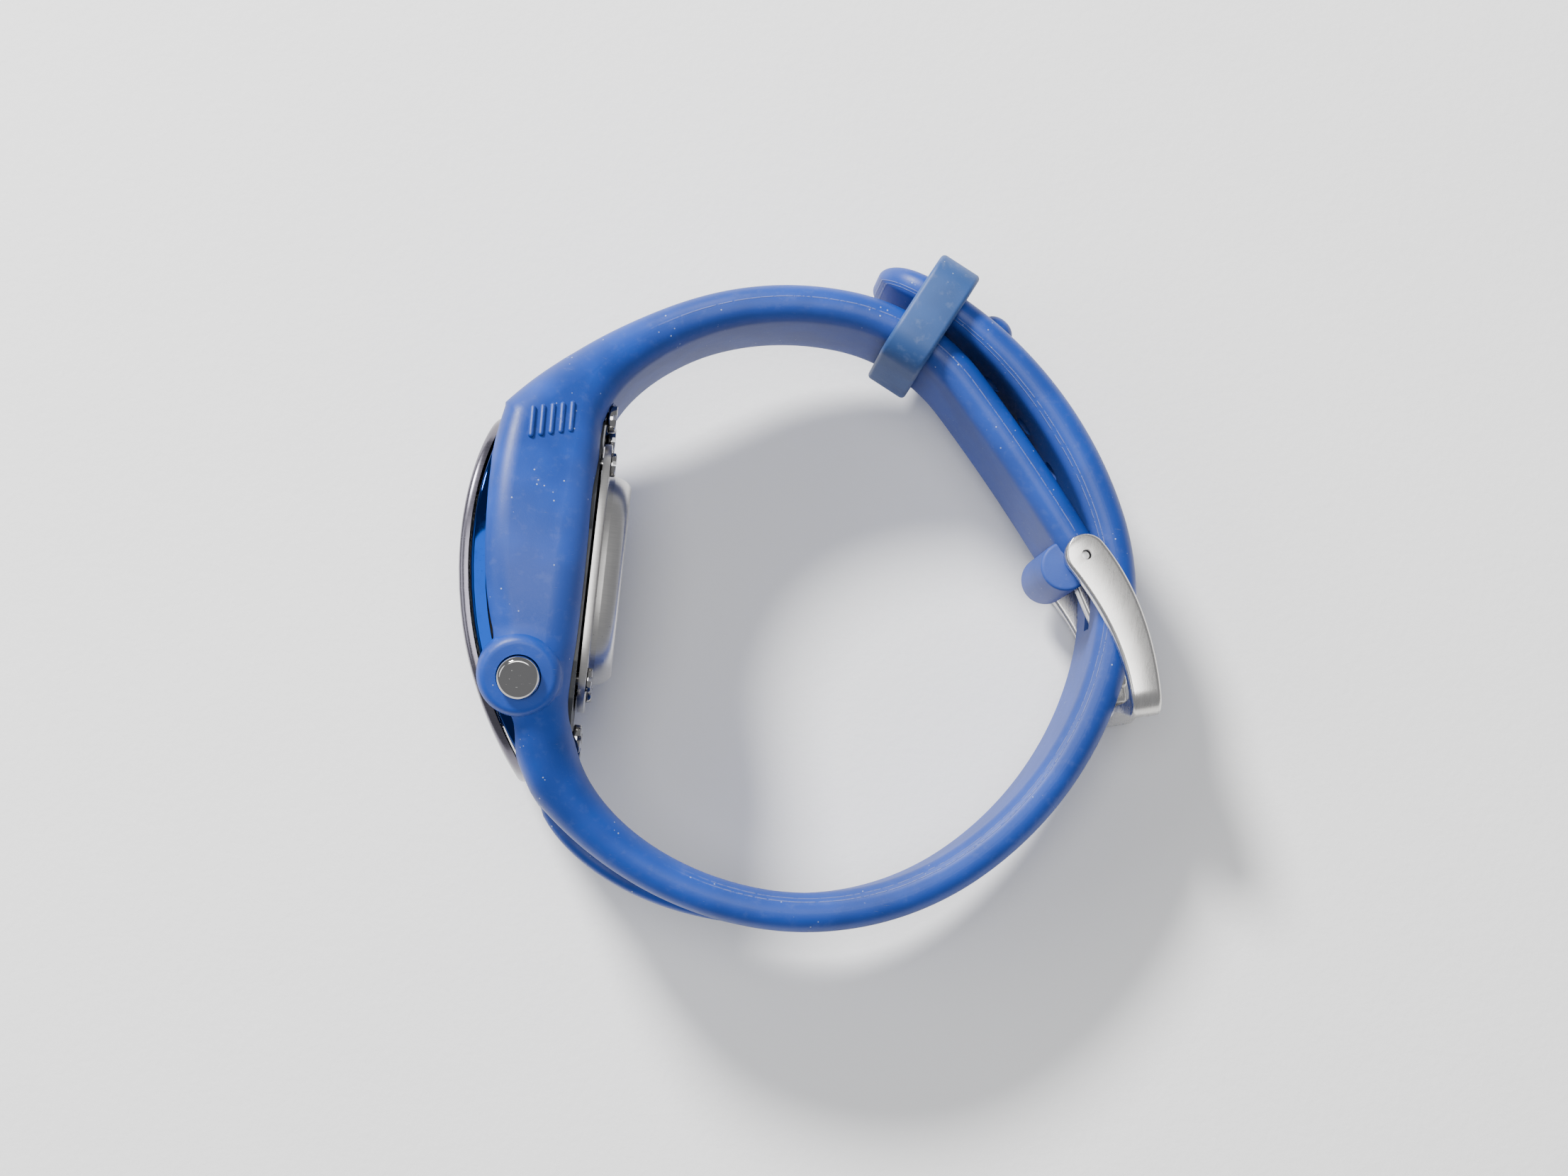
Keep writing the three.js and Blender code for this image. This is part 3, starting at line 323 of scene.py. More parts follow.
def satin_metal(name, base, rough=0.3, line=(400, 400, 9000), wear=0.12):
    """Blasted or brushed metal: fine lines one way, soft smudges, small nicks."""
    f = Finish(name, Metallic=1.0)
    brushed = f.noise(1.0, 4, 0.65, f.stretched(*line))
    smudge = f.noise(330, 3, 0.55)
    nick = f.cells(900).smooth(0.1, 0.03) * f.noise(400, 1).smooth(0.55, 0.62)
    colour = f.mix(brushed.smooth(0.3, 0.7), tint(base, 0.95), tint(base, 1.05))
    colour = f.mix(smudge.smooth(0.5, 0.8) * wear, colour, tint(base, 0.6))
    f.set("Base Color", f.mix(nick * 0.5, colour, tint(base, 0.45)))
    f.set("Roughness", (rough + brushed * 0.06 + smudge * 0.05 - 0.05).clamped())
    f.bump(brushed * 0.5 - nick, 0.000004)
    return f.material


def mirror_metal(name, base, rough=0.06):
    """Plated or polished metal with faint finger marks and hairlines."""
    f = Finish(name, Metallic=1.0)
    smudge = f.noise(520, 4, 0.6)
    hair = f.noise(1.0, 4, 0.7, f.stretched(900, 7000, 2400)).smooth(0.66, 0.76)
    f.set("Base Color", f.mix(smudge.smooth(0.4, 0.7) * 0.25, base, tint(base, 0.82)))
    f.set("Roughness", (rough + smudge.smooth(0.45, 0.75) * 0.09 + hair * 0.12).clamped())
    f.bump(hair * -0.6 + smudge * 0.1, 0.000006)
    return f.material


def plain_moulding(name, base, rough=0.5, grain_scale=3000, metallic=0.0):
    """Moulded plastic or rubber with fine grain and a slow change of tone."""
    f = Finish(name, Metallic=metallic)
    broad, grain = f.noise(300, 2), f.noise(grain_scale, 3, 0.6)
    f.set("Base Color", f.mix(broad.smooth(0.3, 0.7), tint(base, 0.85), tint(base, 1.12, 0.02)))
    f.set("Roughness", (rough - 0.06 + grain * 0.14).clamped())
    f.bump(grain, 0.00003)
    return f.material


def clear_lens(name):
    """The crystal: clear polished plastic with a few hairlines."""
    f = Finish(name, Transmission_Weight=1.0, IOR=1.46)
    hair = f.noise(1.0, 4, 0.7, f.stretched(600, 5200, 1500)).smooth(0.68, 0.78)
    f.set("Base Color", f.mix(hair * 0.1, (0.96, 0.975, 0.985), (0.8, 0.82, 0.85)))
    f.set("Roughness", (0.015 + hair * 0.1).clamped())
    f.bump(hair * -0.5, 0.000004)
    return f.material


def liquid_crystal(name):
    """Grey-green display glass with a faint grid of electrodes."""
    f = Finish(name, IOR=1.52)
    grid = f.cells(3600, 0.0).smooth(0.05, 0.5)
    tone = f.noise(120, 2)
    colour = f.mix(tone.smooth(0.3, 0.7), (0.30, 0.335, 0.27), (0.37, 0.405, 0.325))
    f.set("Base Color", f.mix(grid * 0.12, colour, (0.24, 0.27, 0.22)))
    f.set("Roughness", (0.2 + grid * 0.06).clamped())
    f.bump(grid, 0.000004)
    return f.material


def striped_board(name, base, scale, dark):
    """A board or strip with fine parallel tracks."""
    f = Finish(name)
    along = Value(f, f.node("ShaderNodeSeparateXYZ", inputs={0: f.where}).outputs[1])
    track = (along * scale).sine().smooth(0.1, 0.6) * f.noise(700, 1).smooth(0.4, 0.5)
    f.set("Base Color", f.mix(track, base, dark))
    f.set("Roughness", (0.42 + f.noise(2600, 2) * 0.12).clamped())
    f.bump(track, 0.00003)
    return f.material


FINISHES = {}


def finish(name):
    """Makes each material once, when it is first asked for."""
    if name not in FINISHES:
        c = colours()
        makers = {
            "moulded blue": lambda: moulded_blue("moulded blue", tuple(c.strap)),
            "keeper blue": lambda: moulded_blue("keeper blue", tuple(c.keeper), 0.12),
            "blue plating": lambda: mirror_metal("blue plating", tuple(c.ring), 0.07),
            "mauve bezel": lambda: satin_metal("mauve bezel", tuple(c.bezel), 0.26, (300, 6000, 300)),
            "satin steel": lambda: satin_metal("satin steel", tuple(c.steel), 0.27, (5200, 500, 500)),
            "caseback steel": lambda: satin_metal(
                "caseback steel", tint(tuple(c.steel), 0.92), 0.33, (600, 7000, 600)
            ),
            # mirror steel: the base is darkened well below bare steel to paint in the dark reflection that the
            # polished pusher caps and screw heads show, a painted reflection rather than the metal's own tone
            "mirror steel": lambda: mirror_metal("mirror steel", (0.4, 0.39, 0.38)),
            "spring steel": lambda: satin_metal("spring steel", (0.5, 0.5, 0.5), 0.3, (3000, 3000, 3000)),
            "black rubber": lambda: plain_moulding("black rubber", (0.012, 0.013, 0.016), 0.62),
            "dark plastic": lambda: plain_moulding("dark plastic", (0.022, 0.025, 0.031), 0.45),
            "white plastic": lambda: plain_moulding("white plastic", (0.72, 0.72, 0.68), 0.4),
            "mask print": lambda: plain_moulding("mask print", (0.018, 0.03, 0.07), 0.38),
            "pale print": lambda: plain_moulding("pale print", (0.62, 0.66, 0.7), 0.45),
            "dark segment": lambda: plain_moulding("dark segment", (0.03, 0.034, 0.035), 0.3),
            "clear lens": lambda: clear_lens("clear lens"),
            "liquid crystal": lambda: liquid_crystal("liquid crystal"),
            "solder mask": lambda: striped_board(
                "solder mask", (0.013, 0.09, 0.04), 9000, (0.03, 0.16, 0.075)
            ),
            "zebra rubber": lambda: striped_board(
                "zebra rubber", (0.1, 0.1, 0.1), 16000, (0.012, 0.012, 0.012)
            ),
            "cell steel": lambda: satin_metal("cell steel", (0.56, 0.56, 0.54), 0.25, (400, 400, 5000)),
            "bright brass": lambda: satin_metal("bright brass", (0.55, 0.4, 0.13), 0.25, (3000, 400, 400)),
        }
        FINISHES[name] = makers[name]()
    return FINISHES[name]


# ---------------------------------------------------------------- mesh helpers

def to_row(points):
    """Design millimetres to the row's metres."""
    points = np.asarray(points, float)
    return points @ PLACE_NP[:3, :3].T + PLACE_NP[:3, 3]


def mesh_object(name, points, faces, placed=True):
    mesh = bpy.data.meshes.new(name)
    mesh.from_pydata(to_row(points).tolist() if placed else np.asarray(points, float).tolist(), [], faces)
    mesh.validate()
    thing = bpy.data.objects.new(name, mesh)
    bpy.context.scene.collection.objects.link(thing)
    return thing


def face_outwards(thing):
    """Turns a closed mesh the right way out."""
    shape = bmesh.new()
    shape.from_mesh(thing.data)
    bmesh.ops.remove_doubles(shape, verts=shape.verts, dist=1e-7)
    bmesh.ops.recalc_face_normals(shape, faces=shape.faces)
    if shape.calc_volume(signed=True) < 0:
        bmesh.ops.reverse_faces(shape, faces=shape.faces)
    shape.to_mesh(thing.data)
    shape.free()
    return thing


def soft_shading(thing, crease=38):
    """Smooth shading with hard edges where faces meet sharply."""
    shape = bmesh.new()
    shape.from_mesh(thing.data)
    limit = math.radians(crease)
    for face in shape.faces:
        face.smooth = True
    for edge in shape.edges:
        edge.smooth = len(edge.link_faces) != 2 or edge.calc_face_angle(math.pi) < limit
    shape.to_mesh(thing.data)
    shape.free()
    return thing


def ring_faces(rings, count, loop=False):
    """Quads between closed rows of points, with the ends capped unless they meet."""
    faces = []
    for r in range(rings if loop else rings - 1):
        s = (r + 1) % rings
        for i in range(count):
            j = (i + 1) % count
            faces.append((r * count + i, r * count + j, s * count + j, s * count + i))
    if not loop:
        faces.append(tuple(range(count - 1, -1, -1)))
        faces.append(tuple(range((rings - 1) * count, rings * count)))
    return faces


def loft(name, rings, loop=False, placed=True):
    rings = np.asarray(rings, float)
    thing = mesh_object(name, rings.reshape(-1, 3), ring_faces(len(rings), rings.shape[1], loop), placed)
    return face_outwards(thing)


def settle(thing):
    """Keeps the evaluated shape as a plain mesh and drops the modifiers."""
    graph = bpy.context.evaluated_depsgraph_get()
    made = bpy.data.meshes.new_from_object(thing.evaluated_get(graph))
    thing.modifiers.clear()
    old, thing.data = thing.data, made
    bpy.data.meshes.remove(old)
    return thing


def combine(thing, others, operation):
    """Joins or cuts with the other solids, which are used up."""
    for other in others:
        step = thing.modifiers.new(operation, "BOOLEAN")
        step.operation, step.solver, step.object = operation, "MANIFOLD", other
    settle(thing)
    for other in others:
        bpy.data.objects.remove(other, do_unlink=True)
    return thing


def finished(thing, name, body, slot, surface, *nodes, crease=38):
    thing.name = name
    thing.data.materials.clear()
    thing.data.materials.append(finish(surface))
    soft_shading(thing, crease)
    if nodes:
        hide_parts(*nodes)
    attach(thing, body)
    return thing


def superellipse(half_length, half_width, power=3.0, y=0.0, count=96):
    angle = np.linspace(0, 2 * np.pi, count, endpoint=False)
    c, s = np.cos(angle), np.sin(angle)
    return np.stack([y + half_length * np.sign(c) * np.abs(c) ** (2 / power),
                     half_width * np.sign(s) * np.abs(s) ** (2 / power)], 1)


def plate(name, outlines_at):
    """A closed solid through outlines, each given with its x: [(x, outline), ...]."""
    return loft(name, [np.column_stack([np.full(len(shape), x), shape]) for x, shape in outlines_at])


def turned(name, corners, matrix, sides=64):
    """A turned solid from (radius, height) corners, its axis along the matrix's z."""
    corners = [(max(r, 0.004), h) for r, h in corners]
    angle = np.linspace(0, 2 * np.pi, sides, endpoint=False)
    rings = []
    for r, h in corners:
        local = np.stack([r * np.cos(angle), r * np.sin(angle), np.full(sides, h)], 1)
        rings.append(local @ matrix[:3, :3].T + matrix[:3, 3])
    return loft(name, rings)


def rounded(corners, radius, steps=4):
    """Rounds each inner corner of an open profile."""
    out = [corners[0]]
    for before, here, after in zip(corners, corners[1:], corners[2:]):
        a, b, c = map(np.array, (before, here, after))
        u, v = a - b, c - b
        reach = min(radius, np.linalg.norm(u) * 0.45, np.linalg.norm(v) * 0.45)
        start, end = b + u / np.linalg.norm(u) * reach, b + v / np.linalg.norm(v) * reach
        for k in range(steps + 1):
            t = k / steps
            out.append(tuple((1 - t) ** 2 * start + 2 * t * (1 - t) * b + t * t * end))
    out.append(corners[-1])
    return [tuple(map(float, p)) for p in out]


def along_x(x, y, z):
    """A matrix whose z points along the design x axis, at a place."""
    m = np.eye(4)
    m[:3, 0], m[:3, 1], m[:3, 2], m[:3, 3] = (0, 1, 0), (0, 0, 1), (1, 0, 0), (x, y, z)
    return m


def along_z(x, y, z=0.0):
    m = np.eye(4)
    m[:3, 3] = (x, y, z)
    return m


# ---------------------------------------------------------------- geometry node trees

class Tree(NodeMaker):
    """A geometry node tree with named inputs; it ends in Realize Instances and Set Material."""

    def __init__(self, name, **inputs):
        self.tree = bpy.data.node_groups.new(name, "GeometryNodeTree")
        face = self.tree.interface
        face.new_socket("Geometry", in_out="INPUT", socket_type="NodeSocketGeometry")
        self.ids = {}
        for label, value in inputs.items():
            kind = {bool: "Bool", int: "Int", float: "Float", str: "Object", tuple: "Vector"}[type(value)]
            socket = face.new_socket(label.replace("_", " "), in_out="INPUT", socket_type="NodeSocket" + kind)
            if kind != "Object":
                socket.default_value = value
            self.ids[label] = socket.identifier
        socket = face.new_socket("Finish", in_out="INPUT", socket_type="NodeSocketMaterial")
        self.ids["Finish"] = socket.identifier
        face.new_socket("Geometry", in_out="OUTPUT", socket_type="NodeSocketGeometry")
        self.entry = self.tree.nodes.new("NodeGroupInput")

    def given(self, label):
        return Value(self, self.entry.outputs[label.replace("_", " ")])

    def close(self, geometry):
        real = self.node("GeometryNodeRealizeInstances", inputs={0: geometry})
        dressed = self.node(
            "GeometryNodeSetMaterial",
            inputs={"Geometry": real.outputs[0], "Material": self.entry.outputs["Finish"]}
        )
        out = self.tree.nodes.new("NodeGroupOutput")
        self.tree.links.new(dressed.outputs[0], out.inputs[0])
        return self

    def run(self, thing, surface, **values):
        """Puts the tree on a thing, keeps the result as a plain mesh, and takes the modifier away."""
        step = thing.modifiers.new(self.tree.name, "NODES")
        step.node_group = self.tree
        for label, value in values.items():
            step[self.ids[label]] = value
        step[self.ids["Finish"]] = finish(surface)
        return settle(thing)


TREES = {}


def tree(name):
    if name not in TREES:
        TREES[name] = {"bend": bend_tree, "copies": copies_tree, "ribs": ribs_tree}[name]()
    return TREES[name]


def bend_tree():
    """Lays a flat plate, drawn as (radius, along, across), over the watch's curved front."""
    t = Tree("Bend over the front", Radius=FRONT_RADIUS, Centre_angle=FRONT_ANGLE, Droop=1.6, Reach=20.4,
             Axis_x=FRONT_X, Axis_y=FRONT_Y)
    place = t.node("ShaderNodeSeparateXYZ", inputs={0: t.node("GeometryNodeInputPosition").outputs[0]})
    height, along, across = (Value(t, place.outputs[i]) for i in range(3))
    angle = along / t.given("Radius") + t.given("Centre_angle")
    share = along / t.given("Reach")
    radius = height - share * share * t.given("Droop")
    x = t.given("Axis_x") - radius * angle.math("COSINE", angle)
    y = t.given("Axis_y") + radius * angle.sine()
    bent = t.node("ShaderNodeCombineXYZ", inputs={0: x, 1: y, 2: across})
    moved = t.node(
        "GeometryNodeSetPosition",
        inputs={"Geometry": t.entry.outputs["Geometry"], "Position": bent.outputs[0]}
    )
    return t.close(moved.outputs[0])


def copies_tree():
    """One copy of a piece at each vertex, its z axis along the vertex's aim."""
    t = Tree("Copies at points", Piece="", Size=1.0)
    aim = t.node("GeometryNodeInputNamedAttribute", {"data_type": "FLOAT_VECTOR"}, {"Name": "aim"})
    turn = t.node("FunctionNodeAlignRotationToVector", {"axis": "Z"}, {"Vector": aim.outputs["Attribute"]})
    piece = t.node("GeometryNodeObjectInfo", inputs={"Object": t.entry.outputs["Piece"]})
    copies = t.node("GeometryNodeInstanceOnPoints", inputs={
        "Points": t.entry.outputs["Geometry"], "Instance": piece.outputs["Geometry"],
        "Rotation": turn.outputs[0]})
    sized = t.node("GeometryNodeScaleInstances", inputs={"Instances": copies.outputs[0]})
    t.feed(sized.inputs["Scale"], t.given("Size"))
    return t.close(sized.outputs[0])


def ribs_tree():
    """A row of ribs on the side rail, each standing on the rail's own curve."""
    t = Tree("Grip ribs", Piece="", Count=5, Start=(-9.8, 14.9, 0.0), Pitch=1.0, Rise=0.3,
             Fall=0.25, From=-7.0, Half_width=CASE_HALF_WIDTH, Taper=CASE_TAPER, Widest=CASE_CENTRE_Y, Sink=0.0)
    step = t.node("ShaderNodeCombineXYZ", inputs={0: t.given("Pitch"), 1: t.given("Rise"), 2: 0.0})
    row = t.node(
        "GeometryNodeMeshLine", {"mode": "OFFSET"},
        {"Count": t.given("Count"), "Start Location": t.entry.outputs["Start"], "Offset": step.outputs[0]}
    )
    place = t.node("ShaderNodeSeparateXYZ", inputs={0: t.node("GeometryNodeInputPosition").outputs[0]})
    x, y = Value(t, place.outputs[0]), Value(t, place.outputs[1])
    off = y - t.given("Widest")
    rail = t.given("Half_width") - off * off * t.given("Taper") - t.given("Sink")
    z = rail - (x - t.given("From")) * t.given("Fall")
    on_rail = t.node("ShaderNodeCombineXYZ", inputs={0: x, 1: y, 2: z})
    seated = t.node(
        "GeometryNodeSetPosition", inputs={"Geometry": row.outputs[0], "Position": on_rail.outputs[0]}
    )
    aim = t.node("ShaderNodeCombineXYZ", inputs={0: t.given("Fall"), 1: off * t.given("Taper") * 1.4, 2: 1.0})
    turn = t.node("FunctionNodeAlignRotationToVector", {"axis": "Z"}, {"Vector": aim.outputs[0]})
    piece = t.node("GeometryNodeObjectInfo", inputs={"Object": t.entry.outputs["Piece"]})
    copies = t.node("GeometryNodeInstanceOnPoints", inputs={
        "Points": seated.outputs[0], "Instance": piece.outputs["Geometry"], "Rotation": turn.outputs[0]})
    return t.close(copies.outputs[0])


def placed_in_row(thing):
    """Moves a mesh from design millimetres to its place in the row."""
    thing.data.transform(PLACE)
    return thing


def copies(name, piece, places, aims, surface, body_space=True):
    """Copies of a piece, drawn about its own origin, at places and along aims."""
    points = mesh_object(name, places, [], placed=False)
    aim = points.data.attributes.new("aim", "FLOAT_VECTOR", "POINT")
    aim.data.foreach_set("vector", np.asarray(aims, np.float32).ravel())
    tree("copies").run(points, surface, Piece=piece)
    bpy.data.objects.remove(piece, do_unlink=True)
    if body_space:
        placed_in_row(points)
    return face_outwards(points)


# ---------------------------------------------------------------- the strap's path

def walk(run, distance):
    """The point and heading at a distance along a run of tangent arcs."""
    x, y = run["start"]
    heading, left = math.radians(run["heading"]), distance
    for index, (length, turn) in enumerate(run["arcs"]):
        step = left if index == len(run["arcs"]) - 1 else min(left, length)
        bend = math.radians(turn) / length
        after = heading + bend * step
        x += (math.sin(after) - math.sin(heading)) / bend
        y -= (math.cos(after) - math.cos(heading)) / bend
        heading, left = after, left - step
    return np.array([x, y]), heading


def strap_face(run, distance):
    point, heading = walk(run, distance)
    side = run["side"]
    return point, np.array([side * math.sin(heading), -side * math.cos(heading)]), heading


def run_length(run):
    return sum(length for length, _ in run["arcs"])


def rail_half_width(y):
    return CASE_HALF_WIDTH - CASE_TAPER * (y - CASE_CENTRE_Y) ** 2


def soft_larger(a, b, softness=1.2):
    return softness * math.log(math.exp(a / softness) + math.exp(b / softness))


def soft_step(low, high, value):
    t = np.clip((value - low) / (high - low), 0, 1)
    return t * t * (3 - 2 * t)


def rear_x(y):
    return RAIL_REAR_X + (0.038 * (y + 13) ** 2 if y < -13 else 0)


def station_width(outer_y, inner_y, distance):
    case = soft_larger(STRAP_HALF_WIDTH - 0.1, min(rail_half_width((outer_y + inner_y) / 2), CASE_HALF_WIDTH))
    return STRAP_HALF_WIDTH + (case - STRAP_HALF_WIDTH) * (1 - soft_step(21, 27, distance))


def buckle_station(distance):
    point, inward, _ = strap_face(BUCKLE_STRAP, distance)
    free = sizes().buckle_strap + 12.5 * math.exp(-distance / 6.6)
    to_rear = (RAIL_REAR_X - point[0]) / max(inward[0], 1e-6)
    thickness = min(free, to_rear) if distance < 8 else free
    return point, point + inward * thickness


def tail_station(distance):
    point, inward, _ = strap_face(TAIL_STRAP, distance)
    total = run_length(TAIL_STRAP)
    body = sizes().tail_strap + (3.0 - sizes().tail_strap) * soft_step(total - 30, total, distance)
    return point + inward * 0.01, point + inward * (body + 2.3 * math.exp(-distance / 7))


def section(outer, inner, half_width, corner, side=26, face=14, steps=6):
    """A rounded slab section from an outer to an inner point, with points along its flats."""
    across = outer - inner
    half = np.linalg.norm(across) / 2
    across = across / (2 * half)
    middle = (outer + inner) / 2
    radius = min(corner, half * 0.94, half_width * 0.94)
    local = []
    for (u, w, start), flat in zip(
        ((1, 1, 0), (-1, 1, 90), (-1, -1, 180), (1, -1, 270)), (side, face, side, face)
    ):
        arc = [math.radians(start + 90 * k / steps) for k in range(steps + 1)]
        local += [(
            u * (half - radius) + radius * math.cos(a), w * (half_width - radius) + radius * math.sin(a)
        ) for a in arc]
        a, end = local[-1], {0: (-(half - radius), half_width), 90: (-half, -(half_width - radius)),
                             180: (half - radius, -half_width), 270: (half, half_width - radius)}[start]
        local += [(
            a[0] + (end[0] - a[0]) * k / (flat + 1), a[1] + (end[1] - a[1]) * k / (flat + 1)
        ) for k in range(1, flat + 1)]
    return [(middle[0] + across[0] * h, middle[1] + across[1] * h, z) for h, z in local]


def moulding_rings():
    """Sections from the tail's tip round the case to the buckle's knuckle."""
    corner, rings = sizes().corner, []
    total, tip = run_length(TAIL_STRAP), 6.0
    for k in range(1, 13):
        turn = math.radians(90 * k / 13)
        back = tip * (1 - math.cos(turn))
        outer, inner = tail_station(total - back)
        middle = (outer + inner) / 2
        full = math.sin(min(math.radians(90), turn * 1.35)) * 0.62 + 0.38 * math.sin(turn)
        narrow = STRAP_HALF_WIDTH - tip * (1 - math.sin(turn))
        rings.append(section(
            middle + (outer - middle) * full, middle + (inner - middle) * full, narrow, corner
        ))
    for distance in np.linspace(total - tip, 0, 150)[1:-1]:
        outer, inner = tail_station(distance)
        rings.append(section(outer, inner, station_width(outer[1], inner[1], distance), corner))
    (low_o, low_i), (high_o, high_i) = tail_station(0), buckle_station(0)
    angle_of = lambda p: math.asin((p[1] - FRONT_Y) / FRONT_RADIUS)
    for share in np.linspace(0, 1, 110)[:-1]:
        angle = angle_of(low_o) + (angle_of(high_o) - angle_of(low_o)) * share
        outer = np.array([FRONT_X - FRONT_RADIUS * math.cos(angle), FRONT_Y + FRONT_RADIUS * math.sin(angle)])
        y = low_i[1] + (high_i[1] - low_i[1]) * share
        rings.append(section(outer, np.array([rear_x(y), y]), station_width(outer[1], y, 0), corner))
    for distance in np.linspace(0, run_length(BUCKLE_STRAP) + 1, 100):
        outer, inner = buckle_station(distance)
        rings.append(section(outer, inner, station_width(outer[1], inner[1], distance), corner))
    return np.array(rings)


def pusher_matrix(y, side):
    slope = 2 * CASE_TAPER * (y - CASE_CENTRE_Y)
    out = np.array([0, slope, 1.0])
    out /= np.linalg.norm(out)
    out[2] *= side
    across = np.array([1.0, 0, 0])
    place = np.eye(4)
    place[:3, 0], place[:3, 1], place[:3, 2] = across, np.cross(out, across), out
    place[:3, 3] = np.array([PUSHER_X, y, side * rail_half_width(y)]) + out * BOSS_HEIGHT
    return place


PUSHERS = {
    "pusher_4": pusher_matrix(PUSHER_Y, 1),
    "pusher_8": pusher_matrix(PUSHER_Y, -1),
    "pusher_10": pusher_matrix(2 * FRONT_CENTRE_Y - PUSHER_Y, -1),
}


def swell_round_pushers(rings):
    """Raises the rails in a soft skirt round each pusher's boss."""
    points = rings.reshape(-1, 3)
    for place in PUSHERS.values():
        away = points - place[:3, 3]
        local = away @ place[:3, :3]
        radius = np.hypot(local[:, 0], local[:, 1])
        near_side = soft_step(-5.5, -1.6, local[:, 2])
        lift = 0.62 * (1 - soft_step(2.6, 5.6, radius)) * near_side
        points += lift[:, None] * place[:3, 2]
    return points.reshape(rings.shape)


def rod(name, radius, half, x, y, sides=48):
    return turned(name, [(0, -half), (radius, -half), (radius, half), (0, half)], along_z(x, y), sides)


def bar(name, start, angle, reach, thickness, half_width):
    """A straight bar in the xy plane from a start point."""
    along = np.array([math.cos(angle), math.sin(angle)])
    up = np.array([-along[1], along[0]]) * thickness / 2
    ends = [np.array(start), np.array(start) + along * reach]
    rings = [[
        (*(p + s * up), z) for s,
        z in ((1, half_width), (-1, half_width), (-1, -half_width), (1, -half_width))
    ] for p in ends]
    return loft(name, rings)


ARM = {"start": PIN, "heading": -45, "side": 1, "arcs": [(17.6, -35)]}
BOW = walk(ARM, 17.6)[0]
TONGUE_AIM = np.array([BOW[0] - 0.9, BOW[1] + 3.3 / 2 + 0.6 + 0.2])
TONGUE_ANGLE = math.atan2(TONGUE_AIM[1] - PIN[1], TONGUE_AIM[0] - PIN[0])
TONGUE_REACH = float(np.hypot(TONGUE_AIM[0] - PIN[0], TONGUE_AIM[1] - PIN[1]))
FRONT_ANGLE = math.asin((FRONT_CENTRE_Y - FRONT_Y) / FRONT_RADIUS)


def flat_plate(name, half_length, half_width, low, high, count=96):
    """A flat plate in (radius, along, across), to be bent over the front."""
    shape = superellipse(half_length, half_width, count=count)
    ladder = [(0.02, low), (0.5, low), (1, low), (1, high), (0.5, high), (0.02, high)]
    return loft(name, [np.column_stack([np.full(len(shape), h), shape * s]) for s, h in ladder], placed=False)


def bent(thing, surface):
    return face_outwards(placed_in_row(tree("bend").run(thing, surface)))


def root_ridge():
    rings = []
    for share in np.linspace(0, 1, 24):
        outer, inner = tail_station(1.5 + 24 * share)
        inward = (inner - outer) / np.linalg.norm(inner - outer)
        rise = math.sin(math.pi * share ** 0.65)
        crest = outer - inward * (1.2 * rise - 0.03)
        rings.append(section(crest, outer + inward * 1.5, 5.2 * (0.5 + 0.4 * rise), 0.9, 4, 10, 5))
    return loft("ridge", rings)


def keeper_stop():
    """The bump across the tail that the keeper rests against."""
    point, _, heading = strap_face(TAIL_STRAP, KEEPER_STOP_AT)
    corners = [(1.5 * math.cos(a), -4.5 + 1.5 * math.sin(a)) for a in np.linspace(-math.pi / 2, 0, 8)]
    corners += [(r, -h) for r, h in reversed(corners)]
    m = along_z(*point)
    c, s = math.cos(heading), math.sin(heading)
    m[:3, 0], m[:3, 1] = (1.25 * c, 1.25 * s, 0), (-0.9 * s, 0.9 * c, 0)
    return turned("stop", corners, m, 32)


def tail_holes():
    """Cutters for the adjustment holes, square to the tail strap."""
    places, aims = [], []
    for i in (-1, 1, 2, 3, 4):
        point, inward, _ = strap_face(TAIL_STRAP, SLOT_AT + i * HOLE_PITCH + math.copysign(HOLE_SKIP, i))
        places.append((*point, 0))
        aims.append((*inward, 0))
    r = sizes().hole_radius
    punch = turned_loose("punch", [(0, -6), (r, -6), (r, 6), (0, 6)], 32)
    return copies("tail holes", punch, places, aims, "moulded blue")


def turned_loose(name, corners, sides=48):
    """A turned solid about its own origin, in millimetres, for copying."""
    angle = np.linspace(0, 2 * np.pi, sides, endpoint=False)
    rings = [
        np.stack([max(r, 0.004) * np.cos(angle), max(r, 0.004) * np.sin(angle), np.full(sides, h)], 1) for r,
        h in corners
    ]
    return loft(name, rings, placed=False)


STRAP_SCREWS = [(0.1 + v * 17.3, w * 7.5) for v in (1, -1) for w in (1, -1)]
BACK_SCREWS = [(CASEBACK_Y + v * 11.6, w * 8.6) for v in (1, -1) for w in (1, -1)]


def screw_holes(places, radius, low, high):
    return [
        turned(
            "screw hole", [(0, low), (radius, low), (radius, high), (0, high)], along_x(0, y, z), 32
        ) for y,
        z in places
    ]


def pusher_bores(gap):
    """Cutters for the pushers, wider than their caps by the gap."""
    well = CAP_RADIUS + gap
    corners = [(0, -12.3), (1.05, -12.3), (1.05, -5.3), (1.55, -5.3), (1.55, -4.2), (well + 0.15, -4.2)]
    corners += [(well + 0.15, -1.2), (well, -0.9), (well, -0.2), (well + 0.12, 0.1), (well + 0.12, 4), (0, 4)]
    return [turned("pusher bore", corners, place) for place in PUSHERS.values()]


